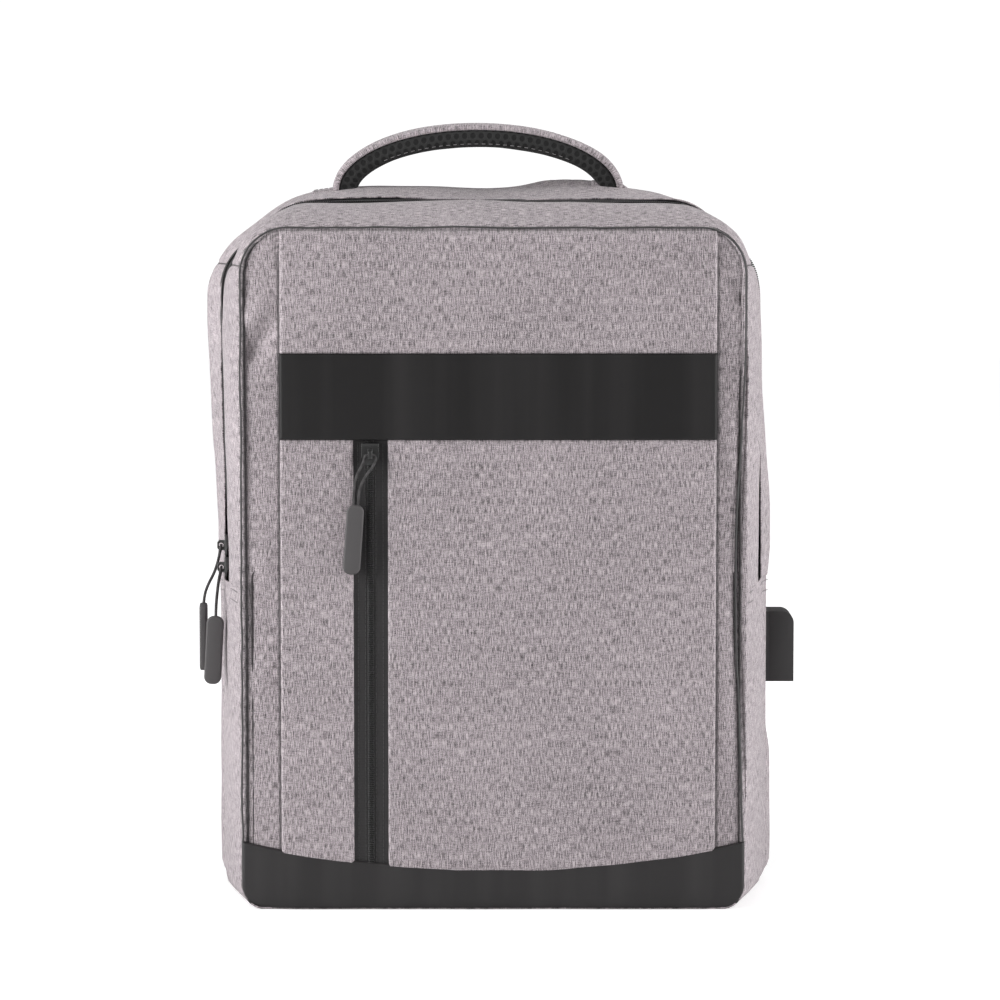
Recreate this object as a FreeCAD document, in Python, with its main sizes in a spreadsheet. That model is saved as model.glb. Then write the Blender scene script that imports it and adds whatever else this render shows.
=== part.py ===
import FreeCAD, Part
import math
import os
import re
import Sketcher
from FreeCAD import Placement, Rotation, Vector

# A city backpack with a charging port on its side. Millimetres, +Z up.
# The origin is at the middle of the flat base; the front faces -Y and the wearer's back is at +Y.

SIZES = {
    # bag body: six upright outlines, from the front panel to the back panel
    "front_y": -62, "zip_y": -8, "zip_fore": 6, "zip_aft": 10, "wide_y": 20, "rear_y": 48, "back_y": 62,
    "bag_half": 162, "front_tuck": 17, "zip_tuck": 6, "back_tuck": 8,
    "bag_tall": 416, "front_drop": 22, "zip_drop": 8, "wide_drop": 2, "back_drop": 8, "back_foot": 5,
    "front_corner": 24, "zip_corner": 48, "rear_corner": 56, "back_corner": 46, "foot_corner": 14,
    "wall": 2.4, "pocket_wall": 1.4, "side_wall": 2, "panel": 1.8,
    # front panels
    "overlay": 1.6, "band_thick": 2, "pleat_left_tuck": 23, "pleat_right_tuck": 17, "seam_inset": 1.5,
    "band_drop": 93.6, "band_tall": 50.4, "kick_side": 40, "kick_middle": 25,
    # front pocket zip
    "zip_x": -70.2, "zip_open": 19.4, "tape": 0.9, "teeth_wide": 3.6, "teeth_tall": 1.1,
    "tape_split": 0.6, "pocket_slot": 10,
    # main zip over the top, and the side pockets under its ends
    "zip_band": 10, "zip_end": 187, "corner_drop": 44, "pocket_back": 22, "seam_lap": 10,
    "tape_sunk": 1.5, "tape_wall": 0.8,
    # inside
    "divider_y": 28, "divider_thick": 5, "divider_drop": 116, "organiser_y": -50,
    "organiser_drop": 186, "sheet": 1.2, "inside_gap": 4, "board": 2, "lining_y": -56,
    # back
    "pad_thick": 8, "pad_foot": 112, "pad_drop": 58, "pad_inner": 14, "pad_tuck": 40,
    "lumbar_foot": 36, "lumbar_top": 98, "pad_round": 14, "pad_edge": 3,
    "yoke_thick": 2, "yoke_half": 96, "yoke_drop": 14, "yoke_tall": 30,
    # grab handle
    "handle_x": -9, "handle_y": 34, "handle_half": 83, "handle_rise": 30, "handle_thick": 5,
    "handle_pad": 7, "handle_deep": 30, "handle_knuckle": 4, "handle_lift": 8.6,
    "handle_flare": 18, "tab_long": 30, "tab_deep": 22, "tab_thick": 1.6,
    # zip sliders and pulls
    "slider_wide": 10, "slider_long": 12.4, "slider_plate": 1.4, "run_gap": 0.3,
    "bridge_wide": 2.4, "bridge_long": 6, "bridge_tall": 4.6, "eye": 2.8,
    "slider_drop": 7.5, "slider_space": 0.6,
    "cord": 1.6, "eye_crossing": 5.4,
    "pull_wide": 10, "pull_long": 40, "pull_thick": 4.4, "pull_edge": 1.2, "pull_toe": 4.6, "pull_head": 4,
    # shoulder straps
    "strap_x": 50, "strap_y": 76.5, "strap_drop": 24, "strap_foot": 24.2, "strap_bow": 30,
    "strap_pad": 255, "strap_cover": 6, "strap_lining": 5, "strap_wide": 64, "strap_neck": 40,
    "strap_tail": 34, "neck_long": 60, "strap_splay": 12,
    "webbing": 25, "webbing_thick": 1.6, "lock_wide": 33, "lock_tall": 24, "lock_thick": 3.6,
    "lock_bar": 4, "lock_gap": 1,
    "corner_tab": 40, "corner_tab_deep": 12, "tab_gap": 3.6,
    # charging port
    "port_y": 36, "port_foot": 122, "port_tall": 42, "port_deep": 24, "port_proud": 17,
    "port_base": 2, "port_wall": 2, "port_round": 7,
    "socket_wide": 14, "socket_tall": 6.4, "socket_long": 16, "socket_wall": 0.5,
    "tongue_wide": 10.6, "tongue_thick": 1.8, "contact": 1, "contact_pitch": 2.4,
}

# sizes worked out from the driving ones
WORKED_OUT = {
    "front_half": "bag_half - front_tuck",
    "zip_half": "bag_half - zip_tuck",
    "back_half": "bag_half - back_tuck",
    "front_top": "bag_tall - front_drop",
    "zip_top": "bag_tall - zip_drop",
    "wide_top": "bag_tall - wide_drop",
    "back_top": "bag_tall - back_drop",
    "corner_seam": "bag_tall - corner_drop",
    "pleat_left": "front_half - pleat_left_tuck",
    "pleat_right": "front_half - pleat_right_tuck",
    "band_top": "bag_tall - band_drop",
    "band_foot": "band_top - band_tall",
    "slider_z": "band_foot - slider_drop",
    "pad_outer": "bag_half - pad_tuck",
    "pad_top": "bag_tall - pad_drop",
    "yoke_top": "bag_tall - yoke_drop",
    # the bag's top slopes up to the rear: the handle stands on the slope
    "handle_axis": "bag_tall - wide_drop * (rear_y - handle_y) / (rear_y - wide_y) + handle_lift",
    # a strap hangs from its top anchor to its foot, splayed, and bows out as an arc between them
    "strap_z": "bag_tall - strap_drop",
    "strap_reach": "(strap_z - strap_foot) / cos(strap_splay)",
    "bow_radius": "(strap_reach ^ 2 / 4 + strap_bow ^ 2) / (2 * strap_bow)",
    "bow_centre": "strap_bow - bow_radius",
    # the slider's eye, out from the tapes' face
    "eye_out": "-(teeth_tall + run_gap + slider_plate) - bridge_tall / 2",
}

doc = FreeCAD.newDocument("backpack")
sheet = doc.addObject("Spreadsheet::Sheet", "Sizes")
for row, (name, value) in enumerate(SIZES.items(), start=1):
    sheet.set("A" + str(row), name)
    sheet.set("B" + str(row), str(value))
    sheet.setAlias("B" + str(row), name)
doc.recompute()

NODES = []


def bound(text):
    """An expression in bare size names, with each name pointed at the sheet."""
    def swap(match):
        word = match.group()
        if word in WORKED_OUT:
            return "(" + bound(WORKED_OUT[word]) + ")"
        return "Sizes." + word if word in SIZES else word
    return re.sub(r"[a-z][a-z_]+", swap, str(text))


def number(text):
    return float(sheet.evalExpression(bound(text)))


def node(obj, name):
    """Make this object one of the pieces of the bag, under its own name."""
    obj.Label = name
    NODES.append(obj)
    return obj


def turned(obj, at, axis=(0, 0, 1), angle="0"):
    """Give an object its place, each coordinate bound to the sheet."""
    obj.Placement = Placement(Vector(*[number(c) for c in at]),
                              Rotation(Vector(*axis), number(angle)))
    for letter, text in zip("xyz", at):
        obj.setExpression("Placement.Base." + letter, bound(text))
    if angle != "0":
        obj.setExpression("Placement.Rotation.Angle", bound(angle))
    return obj


def outline(sketch, points, arcs):
    """Close a loop through points; arcs names the edges that are round, with their radii.

    A loop of one point is a circle about it.
    A positive radius bows the edge to the right of its direction, a negative one to the left.
    """
    at = [Vector(number(x), number(y), 0) for x, y in points]
    first = sketch.GeometryCount
    if len(points) == 1:
        sketch.addGeometry(Part.Circle(at[0], Vector(0, 0, 1), number(arcs[0])), False)
        for kind, text in (("DistanceX", points[0][0]), ("DistanceY", points[0][1])):
            spot = sketch.addConstraint(Sketcher.Constraint(kind, -1, 1, first, 3, number(text)))
            sketch.setExpression("Constraints[%d]" % spot, bound(text))
        spot = sketch.addConstraint(Sketcher.Constraint("Radius", first, number(arcs[0])))
        sketch.setExpression("Constraints[%d]" % spot, bound(arcs[0]))
        return
    for i, (x, y) in enumerate(points):
        start = at[i]
        end = at[(i + 1) % len(points)]
        if i in arcs:
            radius = number(arcs[i])
            half = (end - start) / 2
            side = Vector(half.y, -half.x, 0).normalize() * math.copysign(1, radius)
            height = math.sqrt(max(radius ** 2 - half.Length ** 2, 0))
            middle = start + half - side * height + side * abs(radius)
            sketch.addGeometry(Part.Arc(start, middle, end), False)
        else:
            sketch.addGeometry(Part.LineSegment(start, end), False)

    def ends(i):
        """Which point of edge i is its start, and which its end: a sketch's arcs run anticlockwise."""
        i %= len(points)
        return (2, 1) if i in arcs and number(arcs[i]) < 0 else (1, 2)

    for i, (x, y) in enumerate(points):
        here = first + i
        after = first + (i + 1) % len(points)
        sketch.addConstraint(Sketcher.Constraint("Coincident", here, ends(i)[1], after, ends(i + 1)[0]))
        for kind, text in (("DistanceX", x), ("DistanceY", y)):
            spot = sketch.addConstraint(
                Sketcher.Constraint(kind, -1, 1, here, ends(i)[0], number(text)))
            sketch.setExpression("Constraints[%d]" % spot, bound(text))
        if i in arcs:
            radius = str(arcs[i]).lstrip("-")
            spot = sketch.addConstraint(Sketcher.Constraint("Radius", here, number(radius)))
            sketch.setExpression("Constraints[%d]" % spot, bound(radius))


PLANES = {"front": "XZ_Plane", "side": "YZ_Plane", "top": "XY_Plane"}


def sketched(body, view, away, *loops):
    """A sketch seen from the front, side or top, its plane a distance along that view's axis."""
    sketch = body.newObject("Sketcher::SketchObject", "outline")
    origin = [f for f in body.Origin.OriginFeatures if f.Role == PLANES[view]][0]
    sketch.AttachmentSupport = (origin, [""])
    sketch.MapMode = "FlatFace"
    sign = "-" if view == "front" else ""
    sketch.setExpression("AttachmentOffset.Base.z", bound(sign + "(" + str(away) + ")"))
    for loop in loops:
        outline(sketch, loop[0], loop[1] if len(loop) > 1 else {})
    return sketch


def new_body(name):
    return doc.addObject("PartDesign::Body", name)


def padded(body, view, start, length, *loops):
    """Pad loops from start, for a length along the view's own axis (+X, +Y or +Z)."""
    sketch = sketched(body, view, start, *loops)
    pad = body.newObject("PartDesign::Pad", "pad")
    pad.Profile = sketch
    pad.setExpression("Length", bound(length))
    pad.Reversed = view == "front"
    return pad


def pocketed(body, view, start, length, *loops):
    """Cut loops out of a body, from start for a length along the view's own axis."""
    before = body.Shape.Volume
    sketch = sketched(body, view, start, *loops)
    pocket = body.newObject("PartDesign::Pocket", "pocket")
    pocket.Profile = sketch
    pocket.setExpression("Length", bound(length))
    pocket.Reversed = view != "front"
    doc.recompute()
    assert pocket.Shape.Volume < before - 1e-3, body.Name + ": a pocket cut nothing"
    return pocket


def rounded(body, size, chosen):
    """Fillet the edges that the test picks out of the body's shape."""
    doc.recompute()
    base = body.Tip
    names = ["Edge" + str(i) for i, e in enumerate(base.Shape.Edges, start=1) if chosen(e)]
    fillet = body.newObject("PartDesign::Fillet", "fillet")
    fillet.Base = (base, names)
    fillet.setExpression("Radius", bound(size))
    doc.recompute()
    return fillet


def lies_at(*depths):
    """A test for edges that lie wholly in an upright plane at one of these depths."""
    return lambda edge: any(all(abs(v.Y - depth) < 1e-4 for v in edge.Vertexes) for depth in depths)


def rectangle(low_x, low_y, high_x, high_y):
    return [(low_x, low_y), (high_x, low_y), (high_x, high_y), (low_x, high_y)]


def rounded_rectangle(half, foot, top, foot_radius, top_radius, middle="0"):
    """Anticlockwise outline about a middle line, its upper and lower corners rounded."""
    left = "%s - (%s)" % (middle, half)
    right = "%s + (%s)" % (middle, half)
    points = [(left + " + (" + foot_radius + ")", foot), (right + " - (" + foot_radius + ")", foot),
              (right, foot + " + (" + foot_radius + ")"), (right, top + " - (" + top_radius + ")"),
              (right + " - (" + top_radius + ")", top), (left + " + (" + top_radius + ")", top),
              (left, top + " - (" + top_radius + ")"), (left, foot + " + (" + foot_radius + ")")]
    return points, {1: foot_radius, 3: top_radius, 5: top_radius, 7: foot_radius}


def box(x, y, z, name="slab"):
    """A box between two limits on each axis."""
    made = doc.addObject("Part::Box", name)
    for side, (low, high) in zip(("Length", "Width", "Height"), (x, y, z)):
        made.setExpression(side, bound("(%s) - (%s)" % (high, low)))
    return turned(made, (x[0], y[0], z[0]))


def combined(kind, base, tool, name="step"):
    made = doc.addObject("Part::" + kind, name)
    made.Base = base
    made.Tool = tool
    return made


def common(base, tool):
    return combined("Common", base, tool)


def cut(base, tool):
    return combined("Cut", base, tool)


# ---------------------------------------------------------------- the bag's form

def bag_form(inset):
    """The bag's outer shape, drawn in from its surface by an inset."""
    body = new_body("form")
    stations = [("front_y", "front_half", "0", "front_top", "front_corner"),
                ("zip_y - zip_fore", "zip_half", "0", "zip_top", "zip_corner"),
                ("zip_y + zip_aft", "zip_half", "0", "zip_top", "zip_corner"),
                ("wide_y", "bag_half", "0", "wide_top", "rear_corner"),
                ("rear_y", "bag_half", "0", "bag_tall", "rear_corner"),
                ("back_y", "back_half", "back_foot", "back_top", "back_corner")]
    sketches = []
    for away, half, foot, top, corner in stations:
        loop = rounded_rectangle(half + " - " + inset, foot + " + " + inset, top + " - " + inset,
                                 "foot_corner - " + inset, corner + " - " + inset)
        sketches.append(sketched(body, "front", away, loop))
    loft = body.newObject("PartDesign::AdditiveLoft", "loft")
    loft.Profile = sketches[0]
    loft.Sections = sketches[1:]
    loft.Ruled = True
    return body


outer = bag_form("0")
pocket_inner = bag_form("pocket_wall")
coil_outer = bag_form("(tape_sunk - teeth_tall)")
tape_outer = bag_form("tape_sunk")
tape_inner = bag_form("(tape_sunk + tape_wall)")
wall_inner = bag_form("wall")
side_inner = bag_form("(wall + side_wall)")

WIDE = ("-2 * bag_half", "2 * bag_half")
LEFT = ("-2 * bag_half", "0")
RIGHT = ("0", "2 * bag_half")
BEHIND_FRONT = "front_y + panel"
BEFORE_BACK = "back_y - panel"
ZIP_FRONT = "zip_y - zip_band / 2"
ZIP_REAR = "zip_y + zip_band / 2"
SKY = "2 * bag_tall"

wall_ring = cut(outer, wall_inner)


def gusset_pieces():
    """The strips each side of the main zip, seamed where they reach the upper corners."""
    top = ("corner_seam", SKY)
    upright = ("zip_end", "corner_seam")
    node(common(wall_ring, box(WIDE, (BEHIND_FRONT, ZIP_FRONT), top)), "front_gusset_top")
    node(common(wall_ring, box(WIDE, (ZIP_REAR, BEFORE_BACK), top)), "rear_gusset_top")
    for side, reach in (("left", LEFT), ("right", RIGHT)):
        node(common(wall_ring, box(reach, (BEHIND_FRONT, ZIP_FRONT), upright)), "front_gusset_" + side)
        whole = common(wall_ring, box(reach, (ZIP_REAR, BEFORE_BACK), ("wall", "corner_seam")))
        below_zip = box(reach, (BEHIND_FRONT, "pocket_back"), ("-wall", "zip_end"))
        node(cut(whole, below_zip), "rear_gusset_" + side)


def lower_sides():
    """Under the main zip: a side panel, and the flat pocket sewn over it."""
    side_ring = cut(wall_inner, side_inner)
    pocket_ring = cut(outer, pocket_inner)
    for side, reach in (("left", LEFT), ("right", RIGHT)):
        spread = (BEHIND_FRONT, "pocket_back + seam_lap")
        rise = ("foot_corner", "zip_end + seam_lap")
        node(common(side_ring, box(reach, spread, rise)), "side_panel_" + side)
        spread = (BEHIND_FRONT, "pocket_back")
        node(common(pocket_ring, box(reach, spread, ("wall", "zip_end"))), "side_pocket_" + side)


def main_zip():
    """Two tapes and a coil, sunk a little below the cloth, from one side over the top to the other."""
    tape_ring = cut(tape_outer, tape_inner)
    rise = ("zip_end", SKY)
    front = (ZIP_FRONT, "zip_y - tape_split / 2")
    rear = ("zip_y + tape_split / 2", ZIP_REAR)
    node(common(tape_ring, box(WIDE, front, rise)), "main_zip_tape_front")
    node(common(tape_ring, box(WIDE, rear, rise)), "main_zip_tape_rear")
    middle = ("zip_y - teeth_wide / 2", "zip_y + teeth_wide / 2")
    coil_ring = cut(coil_outer, tape_outer)
    node(common(coil_ring, box(WIDE, middle, rise)), "main_zip_coil")


def kick_outline(reach):
    """The shoe-leather strip along the foot of the front: its upper edge dips in the middle."""
    rise = "(kick_side - kick_middle)"
    radius = "-(front_half ^ 2 + %s ^ 2) / (2 * %s)" % (rise, rise)
    body = new_body("kick_form")
    loop = [("-front_half", "-wall"), ("front_half", "-wall"), ("front_half", "kick_side"),
            ("-front_half", "kick_side")]
    start = "front_y - " + reach
    padded(body, "front", start, "2 * " + reach, (loop, {2: radius}))
    return body


def front_panels():
    """The front: a backing panel, and the layers sewn on it."""
    kick = kick_outline("(band_thick + panel)")
    backing = common(outer, box(WIDE, ("front_y", BEHIND_FRONT), ("0", SKY)))
    zip_span = ("zip_x - pocket_slot / 2", "zip_x + pocket_slot / 2")
    slot = box(zip_span, ("front_y - panel", "front_y + 2 * panel"),
               ("kick_side + pocket_slot", "band_foot - pocket_slot"))
    node(cut(cut(backing, slot), kick), "front_panel")
    node(common(backing, kick), "kick_panel")

    layers = new_body("layer_form")
    loop = rounded_rectangle("front_half - seam_inset", "seam_inset", "front_top - seam_inset",
                             "foot_corner", "front_corner - seam_inset")
    padded(layers, "front", "front_y - band_thick", "band_thick", loop)
    face = ("front_y - overlay", "front_y")
    node(common(layers, box(("-pleat_left", "pleat_right"), face, ("band_top", SKY))), "upper_overlay")
    node(box(("-pleat_left", "pleat_right"), ("front_y - band_thick", "front_y"),
             ("band_foot", "band_top")), "accent_band")
    left = box(("-pleat_left", "zip_x - zip_open / 2"), face, ("0", "band_foot"))
    node(cut(common(layers, left), kick), "left_overlay")
    right = box(("zip_x + zip_open / 2", "pleat_right"), face, ("0", "band_foot"))
    node(cut(common(layers, right), kick), "right_overlay")
    return kick


def front_zip(kick):
    """The upright zip of the front pocket, between the two lower overlays."""
    flat = ("front_y - tape", "front_y")
    edge = "zip_open / 2"
    left = box(("zip_x - " + edge, "zip_x - tape_split / 2"), flat, ("0", "band_foot"))
    right = box(("zip_x + tape_split / 2", "zip_x + " + edge), flat, ("0", "band_foot"))
    node(cut(left, kick), "front_zip_tape_left")
    node(cut(right, kick), "front_zip_tape_right")
    coil = box(("zip_x - teeth_wide / 2", "zip_x + teeth_wide / 2"),
               ("front_y - tape - teeth_tall", "front_y - tape"), ("0", "band_foot"))
    node(cut(coil, kick), "front_zip_coil")


def base_and_back():
    behind = (BEHIND_FRONT, BEFORE_BACK)
    node(common(outer, box(WIDE, behind, ("-wall", "wall"))), "base_panel")
    node(common(outer, box(WIDE, (BEFORE_BACK, "back_y"), ("0", SKY))), "back_panel")


def inner_sheet(name, away, thick, top):
    """An upright sheet inside the bag, its edges clear of the walls."""
    body = new_body(name)
    reach = "front_half - wall - side_wall - inside_gap"
    loop = rounded_rectangle(reach, "wall", top, "foot_corner", "foot_corner")
    padded(body, "front", away, thick, loop)
    node(body, name)


def inside_pieces():
    inner_sheet("laptop_divider", "divider_y", "divider_thick", "bag_tall - divider_drop")
    inner_sheet("organiser_panel", "organiser_y", "sheet", "bag_tall - organiser_drop")
    inner_sheet("front_pocket_lining", "lining_y", "sheet", "band_top")
    reach = "(front_half - foot_corner)"
    node(box(("-" + reach, reach), ("organiser_y + 2 * sheet", "divider_y - inside_gap"),
             ("wall", "wall + board")), "base_board")


def back_pads():
    """Foam pads under air mesh, which stand off the back panel."""
    places = {"back_pad_left": ("-(pad_inner + pad_outer) / 2", "(pad_outer - pad_inner) / 2",
                                "pad_foot", "pad_top"),
              "back_pad_right": ("(pad_inner + pad_outer) / 2", "(pad_outer - pad_inner) / 2",
                                 "pad_foot", "pad_top"),
              "lumbar_pad": ("0", "pad_outer", "lumbar_foot", "lumbar_top")}
    for name, (middle, half, foot, top) in places.items():
        body = new_body(name)
        loop = rounded_rectangle(half, foot, top, "pad_round", "pad_round", middle)
        padded(body, "front", "back_y", "pad_thick", loop)
        rounded(body, "pad_edge", lies_at(number("back_y + pad_thick")))
        node(body, name)


# ---------------------------------------------------------------- the grab handle

# how far below the hinge line the round sewn edge ends, in degrees round it
KNUCKLE_ANGLE = 25


def handle_layer(name, gap_inside, gap_outside):
    """One layer of the arched handle, between two offsets from its outer arc."""
    outer_radius = "((handle_half ^ 2 + handle_rise ^ 2) / (2 * handle_rise))"
    crown = "(handle_axis + handle_rise)"
    centre = "(%s - %s)" % (crown, outer_radius)
    foot = "(handle_axis - handle_knuckle)"
    drop = "(%s - %s)" % (foot, centre)
    big = "(%s - %s)" % (outer_radius, gap_outside)
    small = "(%s - %s)" % (outer_radius, gap_inside)
    wide = "sqrt(%s ^ 2 - %s ^ 2)" % (big, drop)
    narrow = "sqrt(%s ^ 2 - %s ^ 2)" % (small, drop)
    arch = new_body(name + "_arch")
    loop = [("handle_x - " + wide, foot), ("handle_x - " + narrow, foot),
            ("handle_x + " + narrow, foot), ("handle_x + " + wide, foot)]
    padded(arch, "front", "handle_y - handle_deep / 2", "handle_deep", (loop, {1: "-" + small, 3: big}))
    # seen from the side the handle is narrow and round where it is sewn, and flares out above
    flare = new_body(name + "_flare")
    top = crown + " + handle_flare"
    half = "handle_deep / 2"
    root = "handle_knuckle * cos(%s)" % KNUCKLE_ANGLE
    low = "handle_axis - handle_knuckle * sin(%s)" % KNUCKLE_ANGLE
    loop = [("handle_y - " + root, low), ("handle_y + " + root, low),
            ("handle_y + " + half, "handle_axis + handle_flare"), ("handle_y + " + half, top),
            ("handle_y - " + half, top), ("handle_y - " + half, "handle_axis + handle_flare")]
    padded(flare, "side", "handle_x - 2 * handle_half", "4 * handle_half", (loop, {0: "handle_knuckle"}))
    node(common(arch, flare), name)


def handle():
    handle_layer("handle_cover", "handle_thick", "0")
    handle_layer("handle_mesh_pad", "(handle_thick + handle_pad)", "handle_thick")
    reach = "(handle_half - handle_knuckle)"
    tabs = []
    for way in ("-", "+"):
        middle = "handle_x " + way + " " + reach
        tabs.append(box((middle + " - tab_long / 2", middle + " + tab_long / 2"),
                        ("handle_y - tab_deep / 2", "handle_y + tab_deep / 2"),
                        ("zip_top", "handle_axis - handle_knuckle - run_gap")))
    pair = doc.addObject("Part::MultiFuse", "tabs")
    pair.Shapes = tabs
    node(cut(pair, outer), "handle_tabs")


# ---------------------------------------------------------------- zip sliders and pulls

def slider(name, at, turn="0"):
    """A zip slider: a plate with two side flanges, and a bridge with an eye for the cord.

    Drawn for a zip in the plane y = 0 that runs up and down, its tapes' outer face at y = 0.
    """
    body = new_body(name)
    plate_back = "-(teeth_tall + run_gap)"
    plate_front = "(-(teeth_tall + run_gap) - slider_plate)"
    half = "slider_wide / 2"
    low = "-slider_long / 2"
    high = "slider_long / 2"
    shoulder = "slider_wide / 4"
    face = [("-" + shoulder, low), (shoulder, low), (half, low + " + slider_long / 3"), (half, high),
            ("-" + half, high), ("-" + half, low + " + slider_long / 3")]
    padded(body, "front", plate_front, "slider_plate", (face,))
    doc.recompute()
    flange = "slider_plate / 2"
    for way in ("-", ""):
        edges = sorted([way + "(" + half + ")", way + "(" + half + " - " + flange + ")"], key=number)
        loop = rectangle(edges[0], low + " + slider_long / 3", edges[1], high)
        padded(body, "front", plate_back, "teeth_tall", (loop,))
        doc.recompute()
    new_bridge(body, plate_front)
    turned(body, at, (0, 0, 1), turn)
    node(body, name)


def new_bridge(body, plate_front):
    """The bridge stands on the plate; its eye is bored across it, on the pull's hinge line."""
    half = "bridge_long / 2"
    foot = plate_front
    far = "(%s - bridge_tall)" % foot
    near = "(%s + bridge_wide / 2)" % far
    loop = [(foot, "-" + half), (foot, half), (near, half), (far, half + " - bridge_wide / 2"),
            (far, "-(" + half + " - bridge_wide / 2)"), (near, "-" + half)]
    padded(body, "side", "-bridge_wide / 2", "bridge_wide", (loop,))
    doc.recompute()
    return pocketed(body, "side", "-bridge_wide", "2 * bridge_wide", ([("eye_out", "0")], {0: "eye / 2"}))


def pull(name, at, axis, angle):
    """A moulded finger pull that hangs from its cord; its own origin is where the cord goes in."""
    body = new_body(name)
    loop = rounded_rectangle("pull_wide / 2", "-pull_long", "0", "pull_toe", "pull_head")
    padded(body, "front", "-pull_thick / 2", "pull_thick", loop)
    rounded(body, "pull_edge", lies_at(number("-pull_thick / 2"), number("pull_thick / 2")))
    turned(body, at)
    body.Placement = Placement(body.Placement.Base, Rotation(Vector(*axis), angle))
    node(body, name)


def cord_tube(name, points):
    """A cord along straight runs joined by arcs as large as the runs allow."""
    radius = number("cord") / 2
    edges = []
    radii = []
    begin = points[0]
    for i in range(1, len(points) - 1):
        before = points[i - 1] - points[i]
        after = points[i + 1] - points[i]
        room = 0.45 * min(before.Length, after.Length)
        start = points[i] + before.normalize() * room
        end = points[i] + after.normalize() * room
        half_turn = (math.pi - before.getAngle(after)) / 2
        bend = room / math.tan(half_turn)
        inward = (before + after).normalize()
        middle = points[i] + inward * (math.hypot(room, bend) - bend)
        edges.append(Part.LineSegment(begin, start).toShape())
        edges.append(Part.Arc(start, middle, end).toShape())
        begin = end
        radii.append(bend)
    edges.append(Part.LineSegment(begin, points[-1]).toShape())
    length = sum(e.Length for e in edges)
    spine = Part.Wire(edges)
    ring = Part.Wire(Part.makeCircle(radius, points[0], points[1] - points[0]))
    made = doc.addObject("Part::Feature", name)
    made.Shape = spine.makePipeShell([ring], True, True)
    ratio = made.Shape.Volume / (math.pi * radius ** 2 * length)
    print("%s: %.1f mm long, volume ratio %.4f, radii %s"
          % (name, length, ratio, [round(r, 1) for r in radii]))
    node(made, name)


def eye_point(at, turn):
    """Where a slider's eye is, for a slider placed there and turned about Z."""
    out = number("eye_out")
    angle = math.radians(turn)
    return at + Vector(-math.sin(angle) * out, math.cos(angle) * out, 0)


def corded(name, eye, strand_a, strand_b, across):
    """A doubled cord: up one strand, through the eye along its axis, and down the other."""
    half = number("eye_crossing") / 2
    crossing = [eye - across * half, eye + across * half]
    up = [eye + Vector(*p) for p in strand_a]
    down = [eye + Vector(*p) for p in strand_b]
    cord_tube(name, up + crossing + down)


def zip_pulls():
    face = "front_y - tape"
    slider("front_slider", ("zip_x", face, "slider_z"))
    eye = eye_point(Vector(number("zip_x"), number(face), number("slider_z")), 0)
    # strands as steps from the eye: first up the left strand, then down the right one
    corded("front_pull_cord", eye,
           [(-9.6, 1.2, -30.5), (-9.5, 1.2, -24), (-9.1, 1, -17.5), (-7.6, 0.7, -11.5), (-4.8, 0.3, -6.5),
            (-3.3, 0, -3)],
           [(3.2, 0, -3), (1.6, 0.3, -7.2), (-2.6, 0.7, -12.2), (-5.6, 1, -18), (-6.8, 1.2, -24.2),
            (-7.1, 1.2, -30.5)], Vector(1, 0, 0))
    pull("front_pull", ("zip_x - 8.3", face + " + eye_out + 1.2", "slider_z - 29"), (0, 1, 0), 4)

    # the main zip's two sliders rest one above the other at its left end
    side = "-(zip_half - tape_sunk)"
    low = "zip_end + slider_long / 2 + slider_space"
    high = low + " + slider_long + slider_space"
    for name, rise in (("lower_slider", low), ("upper_slider", high)):
        slider(name, (side, "zip_y", rise), "-90")
    eye = eye_point(Vector(number(side), number("zip_y"), number(low)), -90)
    corded("lower_pull_cord", eye,
           [(-2.3, -17.8, -28.5), (-2.2, -17.2, -22.5), (-1.9, -15, -16.5), (-1.5, -11.2, -11),
            (-1.1, -6.8, -6.4), (-0.5, -3.4, -3)],
           [(-0.5, 3.2, -3), (-1.4, 0.6, -7.6), (-1.7, -5.4, -12), (-2, -10.6, -17.4),
            (-2.2, -14, -22.8), (-2.3, -15.3, -28.5)], Vector(0, 1, 0))
    pull("lower_pull", (side + " + eye_out - 2.4", "zip_y - 16.6", low + " - 27"), (0, 1, 0), 3)
    eye = eye_point(Vector(number(side), number("zip_y"), number(high)), -90)
    corded("upper_pull_cord", eye,
           [(-11.2, 7.2, -36.5), (-10.6, 7.1, -30.2), (-8.2, 7, -23.6), (-4.8, 6.6, -17.4), (-2.6, 4.6, -11.2),
            (-1.3, 0, -6.6), (-0.6, -2.9, -3.4)],
           [(-0.6, 3.6, -3.2), (-1.6, 7, -6.8), (-2.9, 9.2, -12), (-5, 9.8, -18), (-8.3, 9.8, -24),
            (-10.7, 9.7, -30.2), (-11.2, 9.6, -36.5)], Vector(0, 1, 0))
    pull("upper_pull", (side + " + eye_out - 11.2", "zip_y + 8.4", high + " - 35"), (0, 0, 1), 90)


# ---------------------------------------------------------------- shoulder straps

def bowed(radius, low, high):
    """The ends of an arc of the strap's bow, at two distances down from its top anchor."""
    return [("bow_centre + sqrt(%s ^ 2 - (strap_reach / 2 - (%s)) ^ 2)" % (radius, drop), "-(%s)" % drop)
            for drop in (low, high)]


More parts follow.
